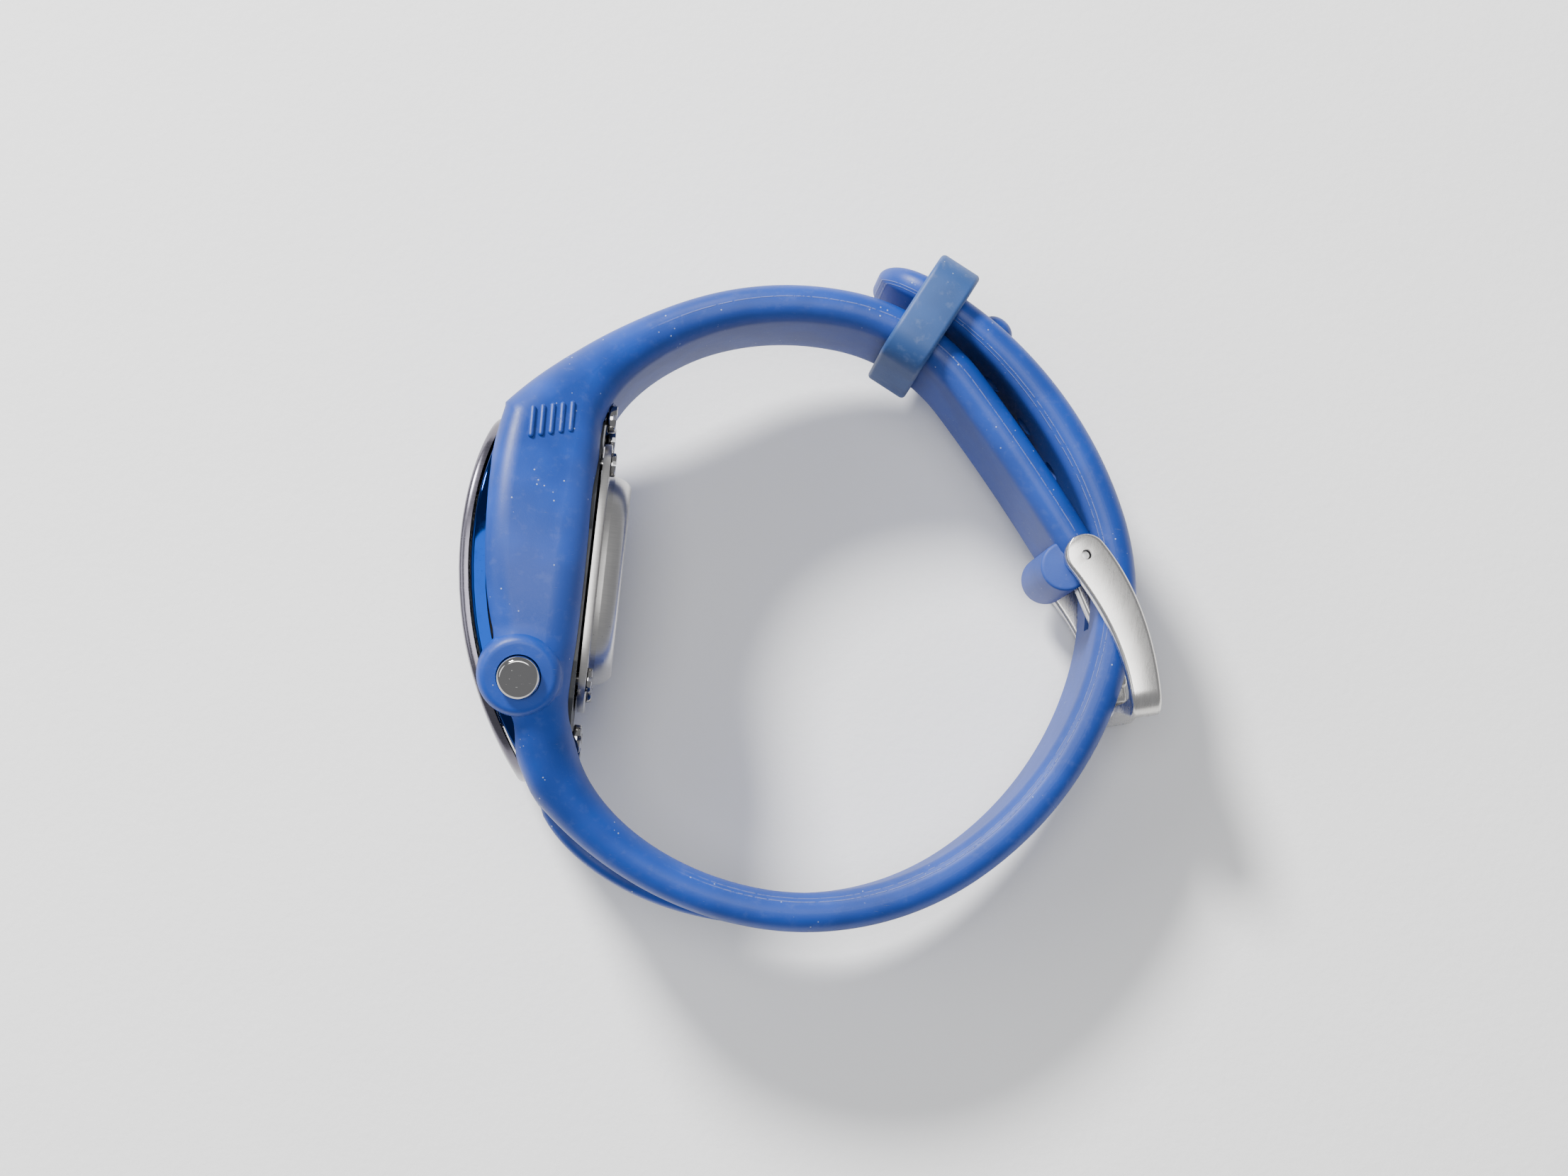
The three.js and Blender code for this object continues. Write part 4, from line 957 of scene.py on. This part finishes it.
def mark_strap(thing):
    """Stores, at each point, how far along the straps it is and where it lies between the two faces."""
    count = len(thing.data.vertices)
    points = np.empty(count * 3)
    thing.data.vertices.foreach_get("co", points)
    inverse = np.linalg.inv(PLACE_NP)
    points = points.reshape(-1, 3) @ inverse[:3, :3].T + inverse[:3, 3]
    samples = []
    for run, station, sign in ((BUCKLE_STRAP, buckle_station, 1), (TAIL_STRAP, tail_station, -1)):
        for distance in np.linspace(0, run_length(run), 260):
            outer, inner = station(distance)
            samples.append((*((outer + inner) / 2), *(outer - inner) / 2, sign * distance))
    for y in np.linspace(-22, 16, 60):
        front = FRONT_X - math.sqrt(FRONT_RADIUS ** 2 - (y - FRONT_Y) ** 2)
        rear = rear_x(y)
        samples.append(((front + rear) / 2, y, (front - rear) / 2, 0.0, 0.0))
    samples = np.array(samples)
    run, across = np.empty(count), np.empty(count)
    for start in range(0, count, 4000):
        p = points[start:start + 4000, None, :2] - samples[None, :, :2]
        best = np.argmin((p ** 2).sum(2), 1)
        rows = np.arange(len(best))
        reach = samples[best, 2:4]
        across[start:start + 4000] = (p[rows, best] * reach).sum(1) / (reach ** 2).sum(1)
        run[start:start + 4000] = samples[best, 4]
    for name, values in (("run", run), ("across", across)):
        thing.data.attributes.new(name, "FLOAT", "POINT").data.foreach_set("value", values.astype(np.float32))


# ---------------------------------------------------------------- operators

class WATCH_OT_moulding(bpy.types.Operator):
    """Makes the one-piece strap and case surround, with its bosses, knuckle, slot and holes"""
    bl_idname = "watch.moulding"
    bl_label = "Strap moulding"

    def execute(self, context):
        body = loft("moulding", swell_round_pushers(moulding_rings()))
        knuckle = [(0, -8.2), (1.7, -8.2), (1.7, -7.95), (2.05, -7.8), (2.05, -7.55), (2.4, -7.4)]
        knuckle += [(r, -h) for r, h in reversed(knuckle)]
        boss = rounded([(0, -2.4), (4.75, -2.4), (4.3, -0.65), (3.75, -0.03), (0, -0.03)], 0.8)
        lobe_side = [(0, -LOBE_HALF), (LOBE_RADIUS, -LOBE_HALF), (LOBE_RADIUS, LOBE_HALF), (0, LOBE_HALF)]
        lobe = rounded(lobe_side, 0.4)
        additions = [
            turned("knuckle", knuckle, along_z(*PIN)),
            turned("lobe", lobe, along_z(PIN[0] + LOBE_X, PIN[1] + LOBE_Y)), root_ridge(), keeper_stop()
        ]
        additions += [turned("boss", boss, place) for place in PUSHERS.values()]
        combine(body, additions, "UNION")
        tools = [
            plate("tub", [(-20, superellipse(17.5, 15.2, 3, -2.5)), (6, superellipse(17.5, 15.2, 3, -2.5))]),
            plate("lugs", [(-5.8, superellipse(19.6, 10.8, 4, 0.1)), (6, superellipse(19.6, 10.8, 4, 0.1))]),
            bent(flat_plate("ring seat", 20.7, 16.7, RING_BOTTOM - 0.3, RING_TOP + 2.7), "moulded blue"),
            rod("pin bore", 1.0, 20, *PIN),
            rod("eye slot", 3.4, 1.5, *PIN),
            bar("tongue slot", PIN, TONGUE_ANGLE, TONGUE_REACH + 1, 2.6, 1.5),
            tail_holes(),
        ]
        tools += pusher_bores(0.05)
        tools += screw_holes(STRAP_SCREWS, 1.0, -8.5, 4) + screw_holes(STRAP_SCREWS, 1.8, -2.3, 4)
        combine(body, tools, "DIFFERENCE")
        face_outwards(body)
        mark_strap(body)
        finished(body, "strap_moulding", "watch", "moulded_strap", "moulded blue", "moulded_strap", crease=42)
        return {"FINISHED"}


class WATCH_OT_ribs(bpy.types.Operator):
    """Stands a row of grip ribs on the 3 o'clock rail"""
    bl_idname = "watch.ribs"
    bl_label = "Grip ribs"

    def execute(self, context):
        angle = np.linspace(0, 2 * np.pi, 40, endpoint=False) + 0.04
        half, radius = 1.54, 0.3
        shape = np.stack(
            [radius * np.cos(angle), radius * np.sin(angle) + half * np.sign(np.sin(angle)), np.zeros(40)], 1
        )
        rings = []
        for tuck, lift in ((0, -0.4), (0, 0.12), (0.05, 0.24), (0.15, 0.32), (0.31, 0.35)):
            ring = shape.copy()
            ring[:, :2] -= np.stack([np.cos(angle), np.sin(angle)], 1) * tuck
            ring[:, 2] = lift
            rings.append(ring)
        rib = loft("rib", rings, placed=False)
        row = mesh_object("grip ribs", [(0, 0, 0)], [], placed=False)
        tree("ribs").run(row, "moulded blue", Piece=rib, Count=sizes().rib_count, Pitch=sizes().rib_pitch)
        bpy.data.objects.remove(rib, do_unlink=True)
        face_outwards(placed_in_row(row))
        mark_strap(row)
        finished(row, "grip_ribs", "watch", "moulded_strap", "moulded blue")
        return {"FINISHED"}


class WATCH_OT_front(bpy.types.Operator):
    """Makes the plated ring, the bezel, the crystal and its gasket, bent over the front"""
    bl_idname = "watch.front"
    bl_label = "Front"

    def frame_plate(self, name, outer, inner, low, high, chamfer, dome=0.0):
        a, b = superellipse(*outer, count=160), superellipse(*inner, count=160)
        width = outer[0] - inner[0]
        profile = [(0.0, low), (0.0, high - chamfer)]
        for k in range(1, 6):
            turn = math.radians(90 * k / 5)
            profile.append((chamfer * (1 - math.cos(turn)), high - chamfer * (1 - math.sin(turn))))
        profile += [(width * s, high + dome * math.sin(math.pi * s)) for s in (0.4, 0.6, 0.8)]
        profile += [(width - 0.12, high), (width, high - 0.12), (width, low)]
        rings = [np.column_stack([np.full(160, h), a + (b - a) * (d / width)]) for d, h in profile]
        return loft(name, rings, loop=True, placed=False)

    def execute(self, context):
        pieces = [
            ("plated_ring", (
                20.4, 16.4
            ), (17.2, 13.2), RING_BOTTOM, RING_TOP, 0.34, 0.0, "chrome_ring", "blue plating"),
            ("front_bezel", (
                20.0, 16.0
            ), (14.6, 11.6), BEZEL_BOTTOM, BEZEL_BOTTOM + 0.95, 0.6, 0.09, "bezel", "mauve bezel"),
            ("lens_gasket", (
                14.3, 11.3
            ), (13.7, 10.7), BEZEL_BOTTOM, BEZEL_BOTTOM + 0.9, 0.1, 0.0, "crystal_gasket", "black rubber"),
        ]
        for name, outer, inner, low, high, chamfer, dome, node, surface in pieces:
            thing = bent(self.frame_plate(name, outer, inner, low, high, chamfer, dome), surface)
            if node == "chrome_ring":
                combine(thing, pusher_bores(0.2), "DIFFERENCE")
                face_outwards(thing)
            slot = "seal_rubber" if node == "crystal_gasket" else node
            finished(thing, name, "watch", slot, surface, node)
        top = BEZEL_BOTTOM + 1.0
        ladder = [(0.02, BEZEL_BOTTOM)] + [(s, BEZEL_BOTTOM) for s in (0.4, 0.8, 1.0)]
        ladder += [(1.0, top - 0.25), (0.993, top - 0.12), (0.975, top)]
        ladder += [(s, top + 0.5 * (1 - s * s)) for s in np.linspace(0.95, 0.02, 18)]
        shape = superellipse(13.4, 10.4, count=128)
        rings = [np.column_stack([np.full(128, h), shape * s]) for s, h in ladder]
        finished(
            bent(loft("lens", rings, placed=False), "clear lens"), "crystal_lens", "watch", "crystal",
            "clear lens", "crystal", crease=50
        )
        return {"FINISHED"}


class WATCH_OT_display(bpy.types.Operator):
    """Draws the dial's ticks and a generic time in liquid crystal segments"""
    bl_idname = "watch.display"
    bl_label = "Display"

    LIT = {"0": "abcdef", "1": "bc", "2": "abged", "8": "abcdefg"}

    def segments(self, z, y, height, marks):
        """Bars of one digit as (y, z) corners, read with 12 o'clock up and 3 o'clock to the right."""
        w, h, t, g = height * 0.5, height, height * 0.1, height * 0.02
        ends = {
            "a": ((0, h), (w, h)), "b": ((w, h), (w, h / 2)), "c": ((w, h / 2), (w, 0)),
            "d": ((0, 0), (w, 0)), "e": ((0, 0), (0, h / 2)), "f": ((0, h / 2), (0, h)),
            "g": ((0, h / 2), (w, h / 2)),
        }
        shapes = []
        for mark in marks:
            a, b = (np.array(e, float) for e in ends[mark])
            u = (b - a) / np.linalg.norm(b - a)
            v = np.array([-u[1], u[0]]) * t / 2
            a, b = a + u * (g + t * 0.15), b - u * (g + t * 0.15)
            corners = [a, a + u * t / 2 + v, b - u * t / 2 + v, b, b - u * t / 2 - v, a + u * t / 2 - v]
            shapes.append([(y + c[1], z + c[0]) for c in corners])
        return shapes

    def execute(self, context):
        shapes = []
        for z, digit in zip((-6.6, -3.2, 1.0, 4.4), "1008"):
            shapes += self.segments(z, -3.6, 5.2, self.LIT[digit])
        for z, digit in zip((2.2, 4.6), "28"):
            shapes += self.segments(z, 3.6, 2.6, self.LIT[digit])
        for y in (-2.2, 0.2):
            shapes.append([(y, 0.05), (y, 0.6), (y + 0.55, 0.6), (y + 0.55, 0.05)])
        points, faces = [], []
        for shape in shapes:
            n, base = len(shape), len(points)
            points += [(x, *corner) for x in (-9.78, -9.7) for corner in shape]
            faces += [tuple(base + i for i in range(n)), tuple(base + n + i for i in reversed(range(n)))]
            faces += [(base + i, base + (i + 1) % n, base + n + (i + 1) % n, base + n + i) for i in range(n)]
        digits = face_outwards(mesh_object("time segments", points, faces))
        finished(digits, "time_segments", "watch", "lcd_glass", "dark segment")
        places, aims = [], []
        ring = superellipse(11.5, 9.1, 3.0, count=60)
        for i in range(60):
            if i % 5 == 0:
                places.append((57.13, *ring[i]))
                aims.append((0, *(ring[i] / np.linalg.norm(ring[i]))))
        tick = turned_loose("tick", [(0, -0.55), (0.16, -0.55), (0.16, 0.55), (0, 0.55)], 10)
        ticks = copies("dial ticks", tick, places, aims, "pale print", body_space=False)
        finished(bent(ticks, "pale print"), "dial_ticks", "watch", "display_mask", "pale print")
        return {"FINISHED"}


class WATCH_OT_caseback(bpy.types.Operator):
    """Makes the steel caseback with its flange, bevelled face and screw recesses"""
    bl_idname = "watch.caseback"
    bl_label = "Caseback"

    def execute(self, context):
        flange = lambda grow: superellipse(14.4 + grow, 12.4 + grow, 4, CASEBACK_Y, 160)
        boss = lambda grow: superellipse(11.4 + grow, 10.8 + grow, 2.8, CASEBACK_Y, 160)
        ladder = [(FLANGE_X, flange(0)), (-1.32, flange(0)), (-1.23, flange(-0.04)), (-1.2, flange(-0.14))]
        ladder += [
            (-1.2, boss(0.12)), (-1.16, boss(0.03)), (-1.08, boss(0)), (-0.6, boss(0)), (-0.5, boss(-0.03))
        ]
        for k in range(1, 7):
            turn = math.radians(90 * k / 6)
            ladder.append((
                -0.5 + 1.8 * (0.25 * k / 6 + 0.75 * math.sin(turn)),
                boss(-0.03 - 1.17 * (0.55 * k / 6 + 0.45 * (1 - math.cos(turn))))
            ))
        ladder += [
            (1.3, boss(-1.9)), (1.2, boss(-1.98)), (1.2, boss(-2.25)), (1.3, boss(-2.33)), (1.3, boss(-6))
        ]
        back = plate("caseback", ladder)
        tools = screw_holes(BACK_SCREWS, 1.0, -6, 4) + screw_holes(BACK_SCREWS, 1.6, -1.6, 2)
        hollow = superellipse(9.8, 9.2, 2.8, CASEBACK_Y, 64)
        tools.append(plate("hollow", [(-3, hollow), (0.1, hollow)]))
        combine(back, tools, "DIFFERENCE")
        finished(
            face_outwards(back), "steel_caseback", "watch", "caseback", "caseback steel", "caseback",
            crease=30
        )
        return {"FINISHED"}


class WATCH_OT_screws(bpy.types.Operator):
    """Sets the slotted caseback and strap screws"""
    bl_idname = "watch.screws"
    bl_label = "Screws"

    def execute(self, context):
        kinds = [
            ("caseback_screws", BACK_SCREWS, -1.3, 1.3, 0.7, 3.6, "caseback_screw_"),
            ("strap_screws", STRAP_SCREWS, -2.0, 1.5, 0.9, 4.6, "strap_screw_"),
        ]
        for name, spots, seat, head, height, length, prefix in kinds:
            corners = rounded(
                [(0, -length), (0.7, -length), (0.7, 0), (head, 0), (head, height), (0, height)], 0.22
            )
            screw = turned_loose(name, corners, 40)
            edges = ((-0.25, height - 0.4), (0.25, height - 0.4), (0.25, 3), (-0.25, 3))
            slot = loft("slot", [[(end, w, h) for w, h in edges] for end in (-3, 3)], placed=False)
            combine(screw, [slot], "DIFFERENCE")
            places = [(seat, y, z) for y, z in spots]
            made = copies(name, screw, places, [(1, 0, 0)] * 4, "mirror steel")
            finished(
                made, name, "watch", "screws", "mirror steel", *[f"{prefix}{i}" for i in range(1, 5)],
                crease=30
            )
        return {"FINISHED"}


class WATCH_OT_pushers(bpy.types.Operator):
    """Turns the three polished pushers"""
    bl_idname = "watch.pushers"
    bl_label = "Pushers"

    def execute(self, context):
        cap_bottom = CAP_PROUD - CAP_LENGTH
        corners = [
            (0, -9.3), (STEM_RADIUS, -9.3), (STEM_RADIUS, -8.75), (0.45, -8.75), (0.45, -8.25),
            (STEM_RADIUS, -8.25), (STEM_RADIUS, cap_bottom), (CAP_RADIUS, cap_bottom),
        ]
        face = [(CAP_RADIUS - 0.36, CAP_PROUD), (1.4, CAP_PROUD - 0.02), (0, CAP_PROUD - 0.06)]
        cap = rounded([(CAP_RADIUS, cap_bottom), (CAP_RADIUS, CAP_PROUD - 0.38), *face], 0.14, 3)
        for name, place in PUSHERS.items():
            thing = turned(name, corners + cap[1:], place)
            finished(thing, name + "_cap", name + "_body", "pusher_steel", "mirror steel", name, crease=24)
        return {"FINISHED"}


class WATCH_OT_buckle(bpy.types.Operator):
    """Bends the buckle's bow, and makes its pin and tongue"""
    bl_idname = "watch.buckle"
    bl_label = "Buckle"

    def ring(self, centre, wide, thick, half_width, half_thickness, corner=0.46, steps=5):
        corner = min(corner, half_width * 0.9, half_thickness * 0.9)
        points = []
        for u, w, start in ((1, 1, 0), (-1, 1, 90), (-1, -1, 180), (1, -1, 270)):
            for k in range(steps + 1):
                a = math.radians(start + 90 * k / steps)
                h = u * (half_width - corner) + corner * math.cos(a)
                t = w * (half_thickness - corner) + corner * math.sin(a)
                points.append(centre + wide * h + thick * t)
        return points

    def bow(self):
        start_half, end_half, arm_z, reach, corner = sizes().arm_width / 2, 1.65, 9.75, 17.6, 2.0
        flat = lambda p, z: np.array([p[0], p[1], z])
        half_run = []
        tangent = np.array([math.cos(math.radians(-45)), math.sin(math.radians(-45))])
        side = np.array([math.sin(math.radians(-45)), -math.cos(math.radians(-45)), 0])
        up = np.array([0, 0, 1.0])
        for turn in np.radians([86, 78, 68, 56, 44, 32, 20, 10]):
            centre = np.array(PIN) - tangent * start_half * math.sin(turn)
            half_run.append((
                flat(centre, arm_z), side, up, start_half * math.cos(turn),
                0.85 - 0.25 * max(0, math.sin(turn) - 0.8)
            ))
        for s in np.linspace(0, reach - corner, 40):
            point, inward, _ = strap_face(ARM, s)
            half = start_half + (end_half - start_half) * soft_step(0, 1, s / reach)
            half_run.append((flat(point, arm_z), np.array([*inward, 0]), up, half, 0.85))
        point, inward, heading = strap_face(ARM, reach - corner)
        ahead, wide = np.array([math.cos(heading), math.sin(heading), 0]), np.array([*inward, 0])
        base = flat(point, arm_z - corner)
        for turn in np.radians(np.linspace(0, 90, 13)[1:]):
            centre = base + ahead * corner * math.sin(turn) + up * corner * math.cos(turn)
            thick = up * math.cos(turn) + ahead * math.sin(turn)
            half_run.append((centre, wide, thick, end_half, 0.85 + 0.3 * math.sin(turn)))
        rings = [self.ring(c, w, t, a, b) for c, w, t, a, b in half_run]
        flip = np.array([1, 1, -1.0])
        other = [self.ring(c * flip, w, t * flip, a, b) for c, w, t, a, b in reversed(half_run)]
        other = [[ring[(-i) % len(ring)] for i in range(len(ring))] for ring in other]
        return rings, other

    def execute(self, context):
        rings, other = self.bow()
        first = np.array(rings[-1])
        aligned = []
        for ring in other:
            ring = np.array(ring)
            if not aligned:
                shift = int(np.argmin([np.abs(np.roll(
                    ring, -k, 0
                )[:, :2] - first[:, :2]).sum() for k in range(len(ring))]))
            aligned.append(np.roll(ring, -shift, 0))
        middle = [first * (1 - s) + aligned[0] * s for s in np.linspace(0, 1, 14)[1:-1]]
        frame_piece = loft("bow", rings + middle + aligned)
        combine(frame_piece, [rod("pin hole", 0.56, 14, *PIN)], "DIFFERENCE")
        finished(
            face_outwards(frame_piece), "buckle_bow", "buckle_body", "buckle_steel", "satin steel",
            "buckle_frame", crease=50
        )
        pin = turned(
            "pin",
            rounded(
                [(0, -9.5), (
                    0.5, -9.5
                ), (0.5, -8.6), (0.7, -8.6), (0.7, 8.6), (0.5, 8.6), (0.5, 9.5), (0, 9.5)],
                0.1
            ),
            along_z(*PIN), 40
        )
        finished(pin, "spring_pin", "watch", "buckle_pin", "spring steel", "buckle_pin")
        eye = turned("eye", rounded([(0, -1.1), (1.6, -1.1), (1.6, 1.1), (0, 1.1)], 0.25), along_z(*PIN), 48)
        along = np.array([math.cos(TONGUE_ANGLE), math.sin(TONGUE_ANGLE), 0])
        wide, up = np.array([0, 0, 1.0]), np.array([-along[1], along[0], 0])
        base = np.array([*PIN, 0.0])
        steps = [(s, 1.06, 0.6) for s in np.linspace(0.6, TONGUE_REACH - 1.2, 14)]
        steps += [(
            TONGUE_REACH - 1.2 + 1.2 * math.sin(t), 1.06 * math.cos(t) ** 0.6, 0.6 * math.cos(t) ** 0.7
        ) for t in np.radians([20, 40, 58, 72, 82])]
        tongue = loft("tongue", [self.ring(base + along * s, wide, up, w, h, 0.3) for s, w, h in steps])
        combine(tongue, [eye], "UNION")
        combine(tongue, [rod("eye hole", 1.0, 3, *PIN)], "DIFFERENCE")
        finished(
            face_outwards(tongue), "steel_tongue", "tongue_body", "buckle_steel", "satin steel",
            "buckle_tongue", crease=40
        )
        return {"FINISHED"}


class WATCH_OT_keeper(bpy.types.Operator):
    """Makes the loose loop that holds the tail"""
    bl_idname = "watch.keeper"
    bl_label = "Keeper loop"

    def outline(self, half_height, half_width, corner):
        points = []
        for u, w, start in ((1, 1, 0), (-1, 1, 90), (-1, -1, 180), (1, -1, 270)):
            for k in range(15):
                a = math.radians(start + 90 * k / 14)
                points.append((
                    u * (half_height - corner) + corner * math.cos(a),
                    w * (half_width - corner) + corner * math.sin(a)
                ))
            nxt = {0: (-(half_height - corner), half_width), 90: (-half_height, -(half_width - corner)),
                   180: (half_height - corner, -half_width), 270: (half_height, half_width - corner)}[start]
            last = points[-1]
            points += [(
                last[0] + (nxt[0] - last[0]) * k / 11, last[1] + (nxt[1] - last[1]) * k / 11
            ) for k in range(1, 11)]
        return np.array(points)

    def execute(self, context):
        point, inward, heading = strap_face(BUCKLE_STRAP, 50.2)
        centre = point + inward * (4.0 - 5.2 + 0.4)
        out = np.array([-math.sin(heading), math.cos(heading), 0])
        along = np.array([math.cos(heading), math.sin(heading), 0])
        wide = np.array([0, 0, 1.0])
        inner, outer = self.outline(5.2, 9.0, 2.2), self.outline(6.54, 10.38, 3.4)
        half, edge = sizes().keeper_width / 2, 0.5
        profile = []
        for v, u, start in ((1, 1, 0), (0, 1, 90), (0, -1, 180), (1, -1, 270)):
            for k in range(6):
                a = math.radians(start + 90 * k / 5)
                through = (1.4 - edge if v else edge) + edge * math.cos(a)
                profile.append((through / 1.4, u * (half - edge) + edge * math.sin(a)))
        rings = []
        for a, b in zip(inner, outer):
            ring = []
            for through, run in profile:
                p = a + (b - a) * through
                ring.append(np.array([*centre, 0]) + out * p[0] + wide * p[1] + along * run)
            rings.append(ring)
        loop = loft("keeper", rings, loop=True)
        for name in ("run", "across"):
            loop.data.attributes.new(name, "FLOAT", "POINT")
        finished(loop, "keeper_band", "keeper_body", "keeper_loop", "keeper blue", "keeper_loop", crease=60)
        return {"FINISHED"}


class WATCH_OT_inside(bpy.types.Operator):
    """Gives the case, the module and the small sealed parts their materials"""
    bl_idname = "watch.inside"
    bl_label = "Case and module"

    SURFACES = {
        "mid_case": "dark plastic", "back_gasket": "black rubber",
        "display_mask": "mask print", "lcd_glass": "liquid crystal",
        "backlight_panel": "white plastic", "module_frame": "white plastic", "zebra_strip_12": "zebra rubber",
        "zebra_strip_6": "zebra rubber", "circuit_board": "solder mask",
        "coin_cell": "cell steel", "battery_clip": "bright brass",
        "buzzer_disc": "bright brass", "buzzer_spring": "bright brass",
    }

    def execute(self, context):
        surfaces = dict(self.SURFACES)
        for name in PUSHERS:
            surfaces.update({
                name + "_spring": "spring steel", name + "_o_ring": "black rubber",
                name + "_circlip": "spring steel"
            })
        for node, surface in surfaces.items():
            data = frame["nodes"][node].data
            data.materials.clear()
            data.materials.append(finish(surface))
        return {"FINISHED"}


class WATCH_OT_stage(bpy.types.Operator):
    """Sets the floor, the soft lights and the camera"""
    bl_idname = "watch.stage"
    bl_label = "Stage"

    def floor(self):
        f = Finish("pale floor")
        broad, fine = f.noise(14, 3), f.noise(900, 4, 0.6)
        base = tuple(colours().floor)
        f.set("Base Color", f.mix(broad.smooth(0.35, 0.65) * 0.5, base, tint(base, 0.965)))
        f.set("Roughness", (0.86 + fine * 0.08).clamped())
        f.bump(fine, 0.00012, 0.5)
        size = 1.5
        thing = mesh_object(
            "floor", [(-size, -size, 0), (size, -size, 0), (size, size, 0), (-size, size, 0)], [(0, 1, 2, 3)],
            placed=False
        )
        thing.data.materials.append(f.material)

    def lamp(self, name, place, size, power, colour=(1, 1, 1)):
        data = bpy.data.lights.new(name, "AREA")
        data.shape, data.size, data.energy, data.color = "DISK", size, power, colour
        thing = bpy.data.objects.new(name, data)
        thing.location = place
        thing.rotation_euler = Vector(place).to_track_quat("Z", "Y").to_euler()
        bpy.context.scene.collection.objects.link(thing)

    def execute(self, context):
        self.floor()
        turn = math.radians(6)
        up, right = Vector((-math.sin(turn), math.cos(turn), 0)), Vector((math.cos(turn), math.sin(turn), 0))
        self.lamp("key", up * 0.60 - right * 0.34 + Vector((0, 0, 0.6)), 0.2, 19)
        self.lamp("fill", up * 0.05 - right * 0.75 + Vector((0, 0, 0.6)), 0.6, 2.4, (0.95, 0.97, 1.0))
        self.lamp("top", right * 0.05 + Vector((0, 0, 0.95)), 0.5, 4.5)
        world = bpy.data.worlds.new("studio")
        world.use_nodes = True
        world.node_tree.nodes["Background"].inputs[0].default_value = (0.93, 0.95, 1.0, 1)
        world.node_tree.nodes["Background"].inputs[1].default_value = 0.38
        context.scene.world = world
        data = bpy.data.cameras.new("camera")
        data.sensor_width, data.lens, data.clip_start, data.clip_end = 36.0, 65.5, 0.01, 10
        camera = bpy.data.objects.new("camera", data)
        lean_right, lean_down = math.radians(4.6), math.radians(6.5)
        facing = Matrix.Rotation(lean_right, 4, "Y") @ Matrix.Rotation(lean_down, 4, "X")
        aim, distance = Vector((-0.0009, -0.0026, 0.038)), 0.292
        place = Matrix.Translation(aim + facing @ Vector((0, 0, distance)))
        camera.matrix_world = place @ facing @ Matrix.Rotation(turn, 4, "Z")
        context.scene.collection.objects.link(camera)
        context.scene.camera = camera
        return {"FINISHED"}


PIECES = (
    WATCH_OT_stage, WATCH_OT_moulding, WATCH_OT_ribs, WATCH_OT_front, WATCH_OT_display,
    WATCH_OT_caseback, WATCH_OT_screws, WATCH_OT_pushers, WATCH_OT_buckle, WATCH_OT_keeper, WATCH_OT_inside,
)


class WATCH_PT_panel(bpy.types.Panel):
    """Lists the watch's sizes, colours and pieces"""
    bl_idname = "WATCH_PT_panel"
    bl_label = "Sports wristwatch"
    bl_space_type = "VIEW_3D"
    bl_region_type = "UI"
    bl_category = "Watch"

    def draw(self, context):
        for group in (context.scene.watch_sizes, context.scene.watch_colours):
            box = self.layout.box()
            for name in group.__annotations__:
                box.prop(group, name)
        for piece in PIECES:
            self.layout.operator(piece.bl_idname)


CLASSES = (WATCH_PG_sizes, WATCH_PG_colours, *PIECES, WATCH_PT_panel)


def register():
    for kind in CLASSES:
        bpy.utils.register_class(kind)
    bpy.types.Scene.watch_sizes = PointerProperty(type=WATCH_PG_sizes)
    bpy.types.Scene.watch_colours = PointerProperty(type=WATCH_PG_colours)


def unregister():
    del bpy.types.Scene.watch_sizes, bpy.types.Scene.watch_colours
    for kind in reversed(CLASSES):
        bpy.utils.unregister_class(kind)


def main():
    register()
    for piece in PIECES:
        getattr(bpy.ops.watch, piece.bl_idname.split(".")[1])()


if __name__ == "__main__":
    main()
